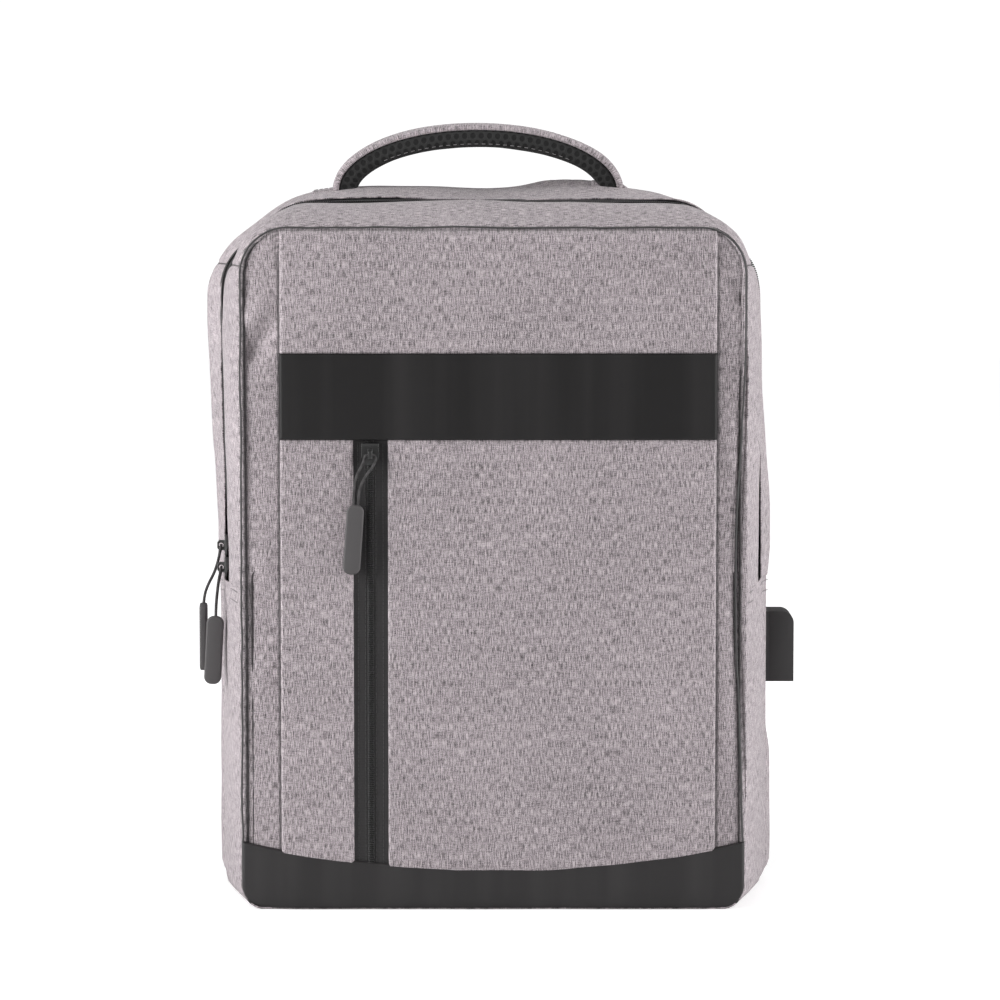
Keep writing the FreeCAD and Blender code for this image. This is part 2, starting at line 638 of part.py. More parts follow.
def strap_layer(name, inner, outer_face, way):
    """One layer of a padded strap: a long bow seen from the side, waisted seen from behind."""
    body = new_body(name + "_bow")
    big = "(bow_radius + %s)" % outer_face
    small = "(bow_radius + %s)" % inner
    loop = bowed(big, "strap_pad", "0") + bowed(small, "strap_pad", "0")[::-1]
    padded(body, "side", "-strap_wide", "2 * strap_wide", (loop, {0: big, 2: "-" + small}))
    plan = new_body(name + "_plan")
    tail = "strap_tail / 2"
    wide = "strap_wide / 2"
    neck = "strap_neck / 2"
    shape = [("-" + tail, "-strap_pad"), (tail, "-strap_pad"), (wide, "-strap_pad + neck_long"),
             (wide, "-neck_long"), (neck, "0"), ("-" + neck, "0"), ("-" + wide, "-neck_long"),
             ("-" + wide, "-strap_pad + neck_long")]
    padded(plan, "front", "-strap_wide", "4 * strap_wide", (shape,))
    layer = common(body, plan)
    strap_place(layer, way)
    node(layer, name)


def strap_place(obj, way):
    """Hang a strap piece from its top anchor, splayed outwards as it goes down."""
    turned(obj, ("%s * strap_x" % way, "strap_y", "strap_z"), (0, 1, 0), "%s * -strap_splay" % way)


def lower_webbing(name, way):
    """The flat webbing under the buckle, along the rest of the strap's bow."""
    body = new_body(name)
    big = "(bow_radius + webbing_thick / 2)"
    small = "(bow_radius - webbing_thick / 2)"
    span = ("strap_reach", "strap_pad + lock_tall + 2 * lock_gap")
    loop = bowed(big, *span) + bowed(small, *span)[::-1]
    padded(body, "side", "-webbing / 2", "webbing", (loop, {0: big, 2: "-" + small}))
    strap_place(body, way)
    node(body, name)


def ladder_lock(name, way):
    """A three-bar buckle at the foot of the strap."""
    body = new_body(name)
    depth = "(%s)" % bowed("bow_radius", "strap_pad", "0")[0][0]
    top = "(-strap_pad - lock_gap)"
    half = "lock_wide / 2"
    frame = rounded_rectangle(half, "%s - lock_tall" % top, top, "lock_bar / 2", "lock_bar / 2")
    opening = "(lock_tall - 3 * lock_bar) / 2"
    inside = "(lock_wide / 2 - lock_bar)"
    upper = rectangle("-" + inside, "%s - lock_bar - %s" % (top, opening), inside, "%s - lock_bar" % top)
    lower = rectangle("-" + inside, "%s - 2 * lock_bar - 2 * %s" % (top, opening), inside,
                      "%s - 2 * lock_bar - %s" % (top, opening))
    padded(body, "front", "%s - lock_thick / 2" % depth, "lock_thick", frame, (upper,), (lower,))
    strap_place(body, way)
    node(body, name)


def straps():
    for side, way in (("left", "-1"), ("right", "1")):
        strap_layer(side + "_strap_cover", "0", "strap_cover", way)
        strap_layer(side + "_strap_lining", "-strap_lining", "0", way)
        ladder_lock(side + "_ladder_lock", way)
        lower_webbing(side + "_lower_webbing", way)
        foot_x = "(%s * (strap_x + strap_reach * sin(strap_splay)))" % way
        tab = new_body(side + "_corner_tab")
        low_z = "(strap_foot - tab_gap)"
        loop = [("back_y", low_z), ("back_y", low_z + " - corner_tab_deep"),
                ("strap_y + webbing_thick", low_z + " - webbing_thick"), ("strap_y + webbing_thick", low_z)]
        padded(tab, "side", foot_x + " - corner_tab / 2", "corner_tab", (loop[::-1],))
        node(tab, side + "_corner_tab")
    node(box(("-yoke_half", "yoke_half"), ("back_y", "back_y + yoke_thick"), ("yoke_top - yoke_tall", "yoke_top")),
         "strap_yoke")


# ---------------------------------------------------------------- charging port

def charging_port():
    """A hooded socket on the right side; the socket's mouth faces down."""
    low_y = "port_y - port_deep / 2"
    high_y = "port_y + port_deep / 2"
    top = "port_foot + port_tall"
    node(box(("bag_half", "bag_half + port_base"), (low_y, high_y), ("port_foot", top)), "port_base")

    hood = new_body("port_hood")
    near = "(bag_half + port_base)"
    far = "(bag_half + port_proud)"
    loop = [(near, "port_foot"), (far, "port_foot"), (far, top + " - port_round"),
            (far + " - port_round", top), (near, top)]
    padded(hood, "front", low_y, "port_deep", (loop, {2: "port_round"}))
    doc.recompute()
    hollow = [(near, "port_foot"), (far + " - port_wall", "port_foot"),
              (far + " - port_wall", top + " - port_round"), (near, top + " - port_round")]
    pocketed(hood, "front", low_y + " + port_wall", "port_deep - 2 * port_wall", (hollow,))
    node(hood, "port_hood")

    middle_x = "((%s + %s - port_wall) / 2)" % (near, far)
    mouth = "(port_foot + port_wall)"
    shell = new_body("port_socket")
    half = "socket_wide / 2"
    deep = "socket_tall / 2"
    outside = rectangle(middle_x + " - " + deep, "port_y - " + half, middle_x + " + " + deep,
                        "port_y + " + half)
    inside = rectangle(middle_x + " - " + deep + " + socket_wall", "port_y - " + half + " + socket_wall",
                       middle_x + " + " + deep + " - socket_wall", "port_y + " + half + " - socket_wall")
    padded(shell, "top", mouth, "socket_long", (outside,), (inside,))
    node(shell, "port_socket")
    back = box((middle_x + " - " + deep, middle_x + " + " + deep),
               ("port_y - " + half, "port_y + " + half),
               (mouth + " + socket_long", mouth + " + socket_long + port_wall"))
    outer_x = "(%s + %s - socket_wall)" % (middle_x, deep)
    tongue = box((outer_x + " - tongue_thick", outer_x),
                 ("port_y - tongue_wide / 2", "port_y + tongue_wide / 2"),
                 (mouth + " + contact", mouth + " + socket_long"))
    node(combined("Fuse", back, tongue), "port_tongue")
    strips = doc.addObject("Part::MultiFuse", "strips")
    inner_x = outer_x + " - tongue_thick"
    strips.Shapes = [box((inner_x + " - socket_wall", inner_x),
                         ("port_y + %s * contact_pitch - contact / 2" % step,
                          "port_y + %s * contact_pitch + contact / 2" % step),
                         (mouth + " + 2 * contact", mouth + " + socket_long"))
                     for step in ("(-1.5)", "(-0.5)", "0.5", "1.5")]
    node(strips, "port_contacts")


gusset_pieces()
lower_sides()
main_zip()
front_zip(front_panels())
base_and_back()
inside_pieces()
back_pads()
handle()
zip_pulls()
straps()
charging_port()
doc.recompute()

for obj in doc.Objects:
    assert "Invalid" not in obj.State and "Error" not in obj.State, (obj.Name, obj.Label, obj.State)
for piece in NODES:
    shape = piece.Shape
    assert not shape.isNull() and shape.isValid() and shape.Solids, piece.Label
    print("%-22s solids %d  volume %9.1f  x %7.1f %7.1f  y %6.1f %6.1f  z %6.1f %6.1f" % (
        piece.Label, len(shape.Solids), shape.Volume, shape.BoundBox.XMin, shape.BoundBox.XMax,
        shape.BoundBox.YMin, shape.BoundBox.YMax, shape.BoundBox.ZMin, shape.BoundBox.ZMax))
print(len(NODES), "pieces")
os.makedirs("parts", exist_ok=True)
for piece in NODES:
    piece.Shape.exportStep(os.path.join("parts", piece.Label + ".step"))
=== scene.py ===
# %% [markdown]
# # A city backpack, dressed
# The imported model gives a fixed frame: plain solids in their true places, and the bodies that move.
# Everything here is cloth, webbing, foam and small mouldings built round that frame, in metres.

# %% The frame
import math

import bpy
import numpy as np
from mathutils import Matrix, Vector, noise


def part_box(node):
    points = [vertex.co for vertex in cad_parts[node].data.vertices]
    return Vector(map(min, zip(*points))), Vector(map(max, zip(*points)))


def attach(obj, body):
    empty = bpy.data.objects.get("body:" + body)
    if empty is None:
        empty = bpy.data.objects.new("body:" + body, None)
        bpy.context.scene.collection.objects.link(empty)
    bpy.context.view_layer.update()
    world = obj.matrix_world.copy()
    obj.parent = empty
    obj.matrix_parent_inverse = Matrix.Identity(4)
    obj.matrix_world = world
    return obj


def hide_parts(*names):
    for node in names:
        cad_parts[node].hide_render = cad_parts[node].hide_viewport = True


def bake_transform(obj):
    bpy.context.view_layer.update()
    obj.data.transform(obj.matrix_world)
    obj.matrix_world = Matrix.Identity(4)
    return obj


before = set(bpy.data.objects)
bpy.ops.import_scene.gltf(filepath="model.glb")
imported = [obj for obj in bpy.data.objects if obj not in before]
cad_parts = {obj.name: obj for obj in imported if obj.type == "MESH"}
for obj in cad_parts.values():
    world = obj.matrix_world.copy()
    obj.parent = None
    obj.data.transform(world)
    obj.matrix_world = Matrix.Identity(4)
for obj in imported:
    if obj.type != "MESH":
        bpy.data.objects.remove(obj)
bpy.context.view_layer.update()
MM = 0.001

# %% [markdown]
# The camera comes first, because it decides how much of the bag's top shows over the front edge.
# The view is from well back and a little above the bag, so its uprights stay upright.

# %% Camera
front_low, front_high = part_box("front_panel")
CAMERA_AWAY = 2.35
CAMERA_RISE = math.radians(5)
LOOK_AT = Vector((0.004, front_low.y, 0.238))
FRAME_WIDE = 0.573
bpy.ops.object.select_all(action="DESELECT")
back_off = Vector((0, -math.cos(CAMERA_RISE), math.sin(CAMERA_RISE))) * CAMERA_AWAY
bpy.ops.object.camera_add(location=LOOK_AT + back_off, rotation=(math.pi / 2 - CAMERA_RISE, 0, 0))
camera = bpy.context.object
camera.data.sensor_width = 36
camera.data.lens = 36 * CAMERA_AWAY / FRAME_WIDE
bpy.context.scene.camera = camera
print("lens, in mm:", round(camera.data.lens))

# %% [markdown]
# Cloth shows its folds only when light rakes across it. Two tall soft boxes stand at the sides and
# catch the gussets, and a weaker one in front fills the panel. The world is white behind the bag.

# %% Light and floor
def soft_box(name, place, size, power):
    """An area light that faces the middle of the bag."""
    bpy.ops.object.light_add(type="AREA", location=place)
    lamp = bpy.context.object
    lamp.name = name
    lamp.data.shape = "RECTANGLE"
    lamp.data.size, lamp.data.size_y = size
    lamp.data.energy = power
    aim = Vector((0, 0, 0.22)) - Vector(place)
    lamp.rotation_euler = aim.to_track_quat("-Z", "Y").to_euler()
    return lamp


soft_box("left_box", (-1.5, -0.55, 0.7), (0.6, 1.5), 35)
soft_box("right_box", (1.5, -0.38, 0.7), (0.6, 1.5), 28)
soft_box("front_box", (-0.25, -2.0, 1.35), (1.2, 0.9), 2)
soft_box("top_box", (0, 0.5, 1.7), (1.4, 0.9), 4.5)

bpy.ops.mesh.primitive_plane_add(size=12, location=(0, 0, 0))
floor = bpy.context.object
floor.name = "floor"

world = bpy.data.worlds.new("studio")
bpy.context.scene.world = world
world.use_nodes = True
sky = world.node_tree.nodes
sky["Background"].inputs["Color"].default_value = (1, 1, 1, 1)
sky["Background"].inputs["Strength"].default_value = 0.25
backdrop = sky.new("ShaderNodeBackground")
backdrop.inputs["Color"].default_value = (1, 1, 1, 1)
backdrop.inputs["Strength"].default_value = 1.05
seen = sky.new("ShaderNodeLightPath")
either = sky.new("ShaderNodeMixShader")
wire = world.node_tree.links.new
wire(seen.outputs["Is Camera Ray"], either.inputs["Fac"])
wire(sky["Background"].outputs[0], either.inputs[1])
wire(backdrop.outputs[0], either.inputs[2])
wire(either.outputs[0], sky["World Output"].inputs["Surface"])
bpy.context.scene.view_settings.view_transform = "Standard"

# %% [markdown]
# ## Finishes
# A finish here is a small network of nodes. The parts that several finishes share, such as a weave,
# a grain or a little dust, are node groups with named sockets. They put out colours, heights and
# roughness only; the shader itself stays in each material, where an exporter can read it.

# %% Building node groups
def new_group(name, inputs, outputs):
    """An empty shader group with sockets: inputs are (name, kind, default), outputs (name, kind)."""
    tree = bpy.data.node_groups.new(name, "ShaderNodeTree")
    kinds = {"vector": "NodeSocketVector", "color": "NodeSocketColor", "value": "NodeSocketFloat"}
    for label, kind, default in inputs:
        socket = tree.interface.new_socket(name=label, in_out="INPUT", socket_type=kinds[kind])
        if default is not None:
            socket.default_value = default
    for label, kind in outputs:
        tree.interface.new_socket(name=label, in_out="OUTPUT", socket_type=kinds[kind])
    return tree, tree.nodes.new("NodeGroupInput"), tree.nodes.new("NodeGroupOutput")


def math_node(tree, operation, first, second=None):
    """One sum. Each side is a socket or a number."""
    made = tree.nodes.new("ShaderNodeMath")
    made.operation = operation
    for slot_at, side in enumerate((first, second)):
        if isinstance(side, (int, float)):
            made.inputs[slot_at].default_value = side
        elif side is not None:
            tree.links.new(side, made.inputs[slot_at])
    return made.outputs[0]


def stretched(tree, vector, across, along, away=0.0):
    """The cloth's own coordinates, counted in yarns across and along."""
    made = tree.nodes.new("ShaderNodeMapping")
    made.inputs["Scale"].default_value = (across, along, 1)
    made.inputs["Location"].default_value = (away, away, away)
    tree.links.new(vector, made.inputs["Vector"])
    return made.outputs["Vector"]


def speckle(tree, vector, detail=0.0, scale=1.0):
    """Smooth noise about 0.5."""
    made = tree.nodes.new("ShaderNodeTexNoise")
    made.inputs["Scale"].default_value = scale
    made.inputs["Detail"].default_value = detail
    tree.links.new(vector, made.inputs["Vector"])
    return made.outputs["Fac"]


def ranged(tree, value, low, high, to_low=0.0, to_high=1.0):
    made = tree.nodes.new("ShaderNodeMapRange")
    for label, number in (("From Min", low), ("From Max", high), ("To Min", to_low), ("To Max", to_high)):
        made.inputs[label].default_value = number
    tree.links.new(value, made.inputs["Value"])
    return made.outputs["Result"]


def mixed_color(tree, share, first, second):
    """first where share is 0, second where it is 1; each is a socket or a colour."""
    made = tree.nodes.new("ShaderNodeMix")
    made.data_type = "RGBA"
    if isinstance(share, (int, float)):
        made.inputs[0].default_value = share
    else:
        tree.links.new(share, made.inputs[0])
    for slot_at, side in ((6, first), (7, second)):
        if isinstance(side, tuple):
            made.inputs[slot_at].default_value = side
        else:
            tree.links.new(side, made.inputs[slot_at])
    return made.outputs[2]

# %% [markdown]
# The body cloth is a plain weave of two-tone yarn. Each yarn is spun from dark and light fibre, so
# its tone drifts along its length and makes short dashes, upright for the warp and level for the
# weft. A stretched noise gives the dashes, and a checker of two waves says which yarn is on top.
# The shade in each seam's groove and the shadow beside each pleat are painted into the colour; the
# pieces carry that painted shade as an attribute.

# %% Heather weave group
def heather_group():
    tree, given, result = new_group(
        "Heather weave",
        [("Vector", "vector", None), ("Dark yarn", "color", (0.1, 0.1, 0.1, 1)),
         ("Light yarn", "color", (0.5, 0.5, 0.5, 1)), ("Contrast", "value", 1.0), ("Seam", "value", 0.0)],
        [("Color", "color"), ("Height", "value"), ("Roughness", "value")])
    place = given.outputs["Vector"]
    yarns, dash = 1 / (0.5 * MM), 1 / (5 * MM)
    warp = speckle(tree, stretched(tree, place, yarns, dash), 1.5)
    weft = speckle(tree, stretched(tree, place, dash * 1.6, yarns, 7.3), 1.5)
    split = tree.nodes.new("ShaderNodeSeparateXYZ")
    tree.links.new(place, split.inputs[0])
    turn = math.pi / (0.5 * MM)
    wave_u = math_node(tree, "SINE", math_node(tree, "MULTIPLY", split.outputs["X"], turn))
    wave_v = math_node(tree, "SINE", math_node(tree, "MULTIPLY", split.outputs["Y"], turn))
    over = math_node(tree, "MULTIPLY", wave_u, wave_v)
    on_top = ranged(tree, over, -0.35, 0.35, 0.12, 0.42)
    tone = tree.nodes.new("ShaderNodeMix")
    tree.links.new(on_top, tone.inputs[0])
    tree.links.new(warp, tone.inputs[2])
    tree.links.new(weft, tone.inputs[3])
    fleck = speckle(tree, stretched(tree, place, 1 / (0.45 * MM), 1 / (0.45 * MM), 3.1), 1)
    drift = speckle(tree, stretched(tree, place, 16, 16, 1.7), 2)
    spread_out = math_node(tree, "SUBTRACT", tone.outputs[0], 0.5)
    louder = math_node(tree, "MULTIPLY", spread_out, given.outputs["Contrast"])
    grainy = math_node(tree, "MULTIPLY", math_node(tree, "SUBTRACT", fleck, 0.5), 1.5)
    slow = math_node(tree, "MULTIPLY", math_node(tree, "SUBTRACT", drift, 0.5), 0.2)
    total = math_node(tree, "ADD", math_node(tree, "ADD", louder, grainy), math_node(tree, "ADD", slow, 0.5))
    color = mixed_color(tree, ranged(tree, total, 0.0, 1.0), given.outputs["Dark yarn"],
                        given.outputs["Light yarn"])
    # Painted shade: the colour goes near black where the seam attribute marks a seam's groove or a pleat's
    # shadow.
    sewn = mixed_color(tree, given.outputs["Seam"], color, (0.012, 0.011, 0.011, 1))
    tree.links.new(sewn, result.inputs["Color"])
    lift = math_node(tree, "ADD", math_node(tree, "MULTIPLY", over, 0.5), tone.outputs[0])
    tree.links.new(lift, result.inputs["Height"])
    tree.links.new(ranged(tree, total, 0, 1, 0.95, 0.8), result.inputs["Roughness"])
    return tree


GROUPS = {"heather": heather_group()}
print("heather weave:", len(GROUPS["heather"].nodes), "nodes")

# %% [markdown]
# Webbing, zip tape and lining are woven too, in one colour with the ribs in plain view. Their colour
# is painted lighter on the ribs' tops and darker in the hollows, painted highlight and painted shade,
# with a random fibre tone.

# %% Ribbed tape group
def ribbed_group():
    tree, given, result = new_group(
        "Ribbed tape",
        [("Vector", "vector", None), ("Color", "color", (0.03, 0.03, 0.03, 1)), ("Ribs", "value", 900.0),
         ("Picks", "value", 700.0)],
        [("Color", "color"), ("Height", "value"), ("Roughness", "value")])
    split = tree.nodes.new("ShaderNodeSeparateXYZ")
    tree.links.new(given.outputs["Vector"], split.inputs[0])
    rib = math_node(tree, "SINE", math_node(tree, "MULTIPLY", split.outputs["X"], math_node(
        tree, "MULTIPLY", given.outputs["Ribs"], 2 * math.pi)))
    pick = math_node(tree, "SINE", math_node(tree, "MULTIPLY", split.outputs["Y"], math_node(
        tree, "MULTIPLY", given.outputs["Picks"], 2 * math.pi)))
    weave = math_node(tree, "ADD", math_node(tree, "MULTIPLY", rib, 0.5),
                      math_node(tree, "MULTIPLY", pick, 0.3))
    fibre = speckle(tree, stretched(tree, given.outputs["Vector"], 2500, 400), 2)
    lift = math_node(tree, "ADD", weave, fibre)
    tree.links.new(lift, result.inputs["Height"])
    # Painted highlight and shade: the colour follows the ribs' height, lighter on top and darker in the
    # hollows, plus the fibre's random tone.
    rib_light_and_fibre_tone = ranged(tree, lift, -0.4, 1.4, 0.55, 1.5)
    scaled = tree.nodes.new("ShaderNodeMix")
    scaled.data_type = "RGBA"
    scaled.blend_type = "MULTIPLY"
    scaled.inputs[0].default_value = 1
    tree.links.new(given.outputs["Color"], scaled.inputs[6])
    tree.links.new(rib_light_and_fibre_tone, scaled.inputs[7])
    tree.links.new(scaled.outputs[2], result.inputs["Color"])
    tree.links.new(ranged(tree, fibre, 0.2, 0.8, 0.7, 0.95), result.inputs["Roughness"])
    return tree


GROUPS["ribbed"] = ribbed_group()
print("ribbed tape:", len(GROUPS["ribbed"].nodes), "nodes")

# %% [markdown]
# Spacer mesh is knitted with an open face: rows of round holes, each row half a pitch along, with
# the dark foam showing through. A cellular texture with no randomness gives an even hexagon grid.

# %% Spacer mesh group
def mesh_group():
    tree, given, result = new_group(
        "Spacer mesh",
        [("Vector", "vector", None), ("Yarn", "color", (0.05, 0.05, 0.05, 1)),
         ("Foam", "color", (0.005, 0.005, 0.005, 1)), ("Holes", "value", 250.0)],
        [("Color", "color"), ("Height", "value"), ("Roughness", "value")])
    split = tree.nodes.new("ShaderNodeSeparateXYZ")
    tree.links.new(given.outputs["Vector"], split.inputs[0])
    across = math_node(tree, "MULTIPLY", split.outputs["X"], given.outputs["Holes"])
    along = math_node(tree, "MULTIPLY", split.outputs["Y"],
                      math_node(tree, "DIVIDE", given.outputs["Holes"], math.sqrt(3)))

    def nearest(shift):
        """Squared distance to the nearest point of one of the two square grids that make hexagons."""
        dx = math_node(tree, "SUBTRACT", math_node(tree, "FRACT", math_node(tree, "ADD", across, shift)), 0.5)
        dy = math_node(tree, "SUBTRACT", math_node(tree, "FRACT", math_node(tree, "ADD", along, shift)), 0.5)
        dy = math_node(tree, "MULTIPLY", dy, math.sqrt(3))
        return math_node(tree, "ADD", math_node(tree, "MULTIPLY", dx, dx),
                         math_node(tree, "MULTIPLY", dy, dy))

    reach = math_node(tree, "SQRT", math_node(tree, "MINIMUM", nearest(0.0), nearest(0.5)))
    wall = ranged(tree, reach, 0.30, 0.40)
    knit = speckle(tree, stretched(tree, given.outputs["Vector"], 2200, 2200), 1)
    tree.links.new(mixed_color(tree, wall, given.outputs["Foam"], given.outputs["Yarn"]),
                   result.inputs["Color"])
    tree.links.new(math_node(tree, "ADD", wall, math_node(tree, "MULTIPLY", knit, 0.25)),
                   result.inputs["Height"])
    tree.links.new(ranged(tree, knit, 0.2, 0.8, 0.75, 0.95), result.inputs["Roughness"])
    return tree


GROUPS["mesh"] = mesh_group()
print("spacer mesh:", len(GROUPS["mesh"].nodes), "nodes")

# %% [markdown]
# Coated cloth, moulded rubber and enamel share a fine irregular grain, with a little dust and rub.

# %% Fine grain group
def grain_group():
    tree, given, result = new_group(
        "Fine grain",
        [("Vector", "vector", None), ("Color", "color", (0.03, 0.03, 0.03, 1)),
         ("Dust", "color", (0.2, 0.19, 0.19, 1)), ("Grain size", "value", 0.4 * MM),
         ("Dustiness", "value", 0.06), ("Gloss", "value", 0.45)],
        [("Color", "color"), ("Height", "value"), ("Roughness", "value")])
    per_grain = math_node(tree, "DIVIDE", 1.0, given.outputs["Grain size"])
    small = tree.nodes.new("ShaderNodeVectorMath")
    small.operation = "SCALE"
    tree.links.new(given.outputs["Vector"], small.inputs[0])
    tree.links.new(per_grain, small.inputs["Scale"])
    pebble = speckle(tree, small.outputs[0], 2)
    cloud = speckle(tree, stretched(tree, given.outputs["Vector"], 45, 45), 4)
    rub = ranged(tree, cloud, 0.45, 0.75)
    dusty = math_node(tree, "MULTIPLY", rub, given.outputs["Dustiness"])
    tree.links.new(mixed_color(tree, dusty, given.outputs["Color"], given.outputs["Dust"]),
                   result.inputs["Color"])
    tree.links.new(pebble, result.inputs["Height"])
    rough = math_node(tree, "ADD", given.outputs["Gloss"], math_node(tree, "MULTIPLY", rub, 0.12))
    uneven = math_node(tree, "MULTIPLY", math_node(tree, "SUBTRACT", pebble, 0.5), 0.15)
    rough = math_node(tree, "ADD", rough, uneven)
    tree.links.new(rough, result.inputs["Roughness"])
    return tree


GROUPS["grain"] = grain_group()
print("node groups:", [tree.name for tree in GROUPS.values()])

# %% [markdown]
# Each finish is one shader, fed by one group, with its own values. Cloth reads the piece's own
# UV map, laid out in metres, so the yarn follows the panel round corners; mouldings read Object
# coordinates. Sheen, coat and the like are plain numbers on the shader.

# %% Finishes
def finish(name, group, by, bump, fixed=None, **values):
    """A material: a group's colour, roughness and height into one shader."""
    made = bpy.data.materials.new(name)
    made.use_nodes = True
    tree = made.node_tree
    shader = tree.nodes["Principled BSDF"]
    at = tree.nodes.new("ShaderNodeTexCoord")
    pattern = tree.nodes.new("ShaderNodeGroup")
    pattern.node_tree = GROUPS[group]
    pattern.label = GROUPS[group].name
    tree.links.new(at.outputs[by], pattern.inputs["Vector"])
    for label, value in values.items():
        pattern.inputs[label.replace("_", " ")].default_value = value
    # The seam attribute is painted shade: it darkens the colour in seam grooves and beside the pleats.
    if "Seam" in pattern.inputs:
        marked = tree.nodes.new("ShaderNodeAttribute")
        marked.attribute_name = "seam"
        tree.links.new(marked.outputs["Fac"], pattern.inputs["Seam"])
    tree.links.new(pattern.outputs["Color"], shader.inputs["Base Color"])
    tree.links.new(pattern.outputs["Roughness"], shader.inputs["Roughness"])
    relief = tree.nodes.new("ShaderNodeBump")
    relief.inputs["Distance"].default_value = bump
    tree.links.new(pattern.outputs["Height"], relief.inputs["Height"])
    tree.links.new(relief.outputs["Normal"], shader.inputs["Normal"])
    for label, value in (fixed or {}).items():
        shader.inputs[label].default_value = value
    return made


def shade(level, warm=0.0):
    """A near-grey colour, a touch warm where warm is above 0."""
    return (level * (1 + warm), level, level * (1 + warm * 0.4), 1)


heather = finish("heather_cloth", "heather", "UV", 0.12 * MM, {"Sheen Weight": 0.15, "Sheen Roughness": 0.6},
                 Dark_yarn=shade(0.06, 0.17), Light_yarn=shade(0.50, 0.14), Contrast=3.0)
coated = finish("smooth_panel", "grain", "Object", 0.02 * MM, {"Specular IOR Level": 0.4},
                Color=shade(0.017, 0.1), Grain_size=0.35 * MM, Gloss=0.5, Dustiness=0.08)
# Painted shade: the band's finish is a darker copy of the kick strip's coated cloth.
shaded_band_coating = finish("band_panel_shaded", "grain", "Object", 0.02 * MM, {"Specular IOR Level": 0.3},
                    Color=shade(0.008, 0.1), Grain_size=0.35 * MM, Gloss=0.55, Dustiness=0.06)
air_mesh = finish("air_mesh", "mesh", "UV", 0.8 * MM, {"Sheen Weight": 0.1},
                  Yarn=shade(0.035, 0.06), Foam=shade(0.004), Holes=220.0)
handle_mesh = finish("handle_mesh", "mesh", "UV", 0.5 * MM, Yarn=shade(0.022), Foam=shade(0.003), Holes=205.0)
lining = finish("dark_lining", "ribbed", "UV", 0.05 * MM, Color=shade(0.03), Ribs=2500.0, Picks=2500.0)
zip_tape = finish("zip_tape", "ribbed", "UV", 0.1 * MM, Color=shade(0.028, 0.06), Ribs=1400.0, Picks=1100.0)
webbing = finish("webbing", "ribbed", "UV", 0.25 * MM, {"Sheen Weight": 0.1},
                 Color=shade(0.022, 0.05), Ribs=520.0, Picks=420.0)
braid = finish("pull_cord", "ribbed", "UV", 0.15 * MM, Color=shade(0.05, 0.06), Ribs=12.0, Picks=12.0)
coil = finish("zip_coil", "grain", "Object", 0.01 * MM, Color=shade(0.02), Grain_size=0.2 * MM, Gloss=0.35)
enamel = finish("slider_metal", "grain", "Object", 0.01 * MM, {"Coat Weight": 0.4, "Coat Roughness": 0.2},
                Color=shade(0.018), Grain_size=0.5 * MM, Gloss=0.3, Dustiness=0.1)
rubber = finish("pull_rubber", "grain", "Object", 0.02 * MM, {"Specular IOR Level": 0.35},
                Color=shade(0.075, 0.06), Dust=shade(0.2, 0.05), Grain_size=0.3 * MM, Gloss=0.55,
                Dustiness=0.1)
moulded = finish("buckle_plastic", "grain", "Object", 0.02 * MM, Color=shade(0.016), Grain_size=0.5 * MM,
                 Gloss=0.3, Dustiness=0.05)
port_rubber = finish("port_rubber", "grain", "Object", 0.03 * MM, {"Specular IOR Level": 0.35},
                     Color=shade(0.03, 0.05), Grain_size=0.35 * MM, Gloss=0.5)
plated = finish("socket_steel", "grain", "Object", 0.005 * MM, {"Metallic": 1.0},
                Color=shade(0.55), Dust=shade(0.3), Grain_size=0.8 * MM, Gloss=0.22)
brass = finish("contact_brass", "grain", "Object", 0.005 * MM, {"Metallic": 1.0},
               Color=(0.7, 0.52, 0.22, 1), Dust=(0.4, 0.3, 0.15, 1), Grain_size=0.5 * MM, Gloss=0.25)
insert = finish("tongue_plastic", "grain", "Object", 0.01 * MM, Color=shade(0.02), Grain_size=0.4 * MM,
                Gloss=0.5)
board = finish("stiff_board", "grain", "Object", 0.05 * MM, Color=shade(0.04), Grain_size=0.8 * MM, Gloss=0.7)
# Light thread for topstitching; along the handle's lower edge it also paints glints, a painted highlight.
thread = finish("thread", "grain", "Object", 0.02 * MM, Color=shade(0.19, 0.06), Dust=shade(0.3),
                Grain_size=0.3 * MM, Gloss=0.7)
# Black thread for the zip's stitches; the same finish colours the dark tube of painted shade in the front
# seam.
black_thread_and_seam_shade = finish("black_thread_and_seam_shade", "grain", "Object", 0.02 * MM, Color=shade(0.05, 0.03), Dust=shade(0.1),
                      Grain_size=0.3 * MM, Gloss=0.6)
ground = finish("studio_floor", "grain", "Object", 0.001 * MM,
                {"Emission Color": (1, 1, 1, 1)}, Color=shade(0.8), Dust=shade(0.8),
                Grain_size=20 * MM, Gloss=0.8)
glow = ground.node_tree.nodes.new("ShaderNodeLightPath")
spot = ground.node_tree.nodes.new("ShaderNodeTexCoord")
away = ground.node_tree.nodes.new("ShaderNodeVectorMath")
away.operation = "LENGTH"
ground.node_tree.links.new(spot.outputs["Object"], away.inputs[0])
fill = ranged(ground.node_tree, away.outputs["Value"], 0.25, 1.3, 0.42, 0.8)
lift = math_node(ground.node_tree, "MULTIPLY", glow.outputs["Is Camera Ray"], fill)
ground.node_tree.links.new(lift, ground.node_tree.nodes["Principled BSDF"].inputs["Emission Strength"])
floor.data.materials.append(ground)
print("finishes:", len(bpy.data.materials))

# %% [markdown]
# ## Cloth pieces
# Every panel of the bag starts as a flat grid, like cloth on a cutting table. The grid's points are
# then laid on the bag's form. The rows are closer together beside each seam, because that is where
# the cloth turns down sharply. The UV map keeps the flat lengths, so the weave is never stretched.

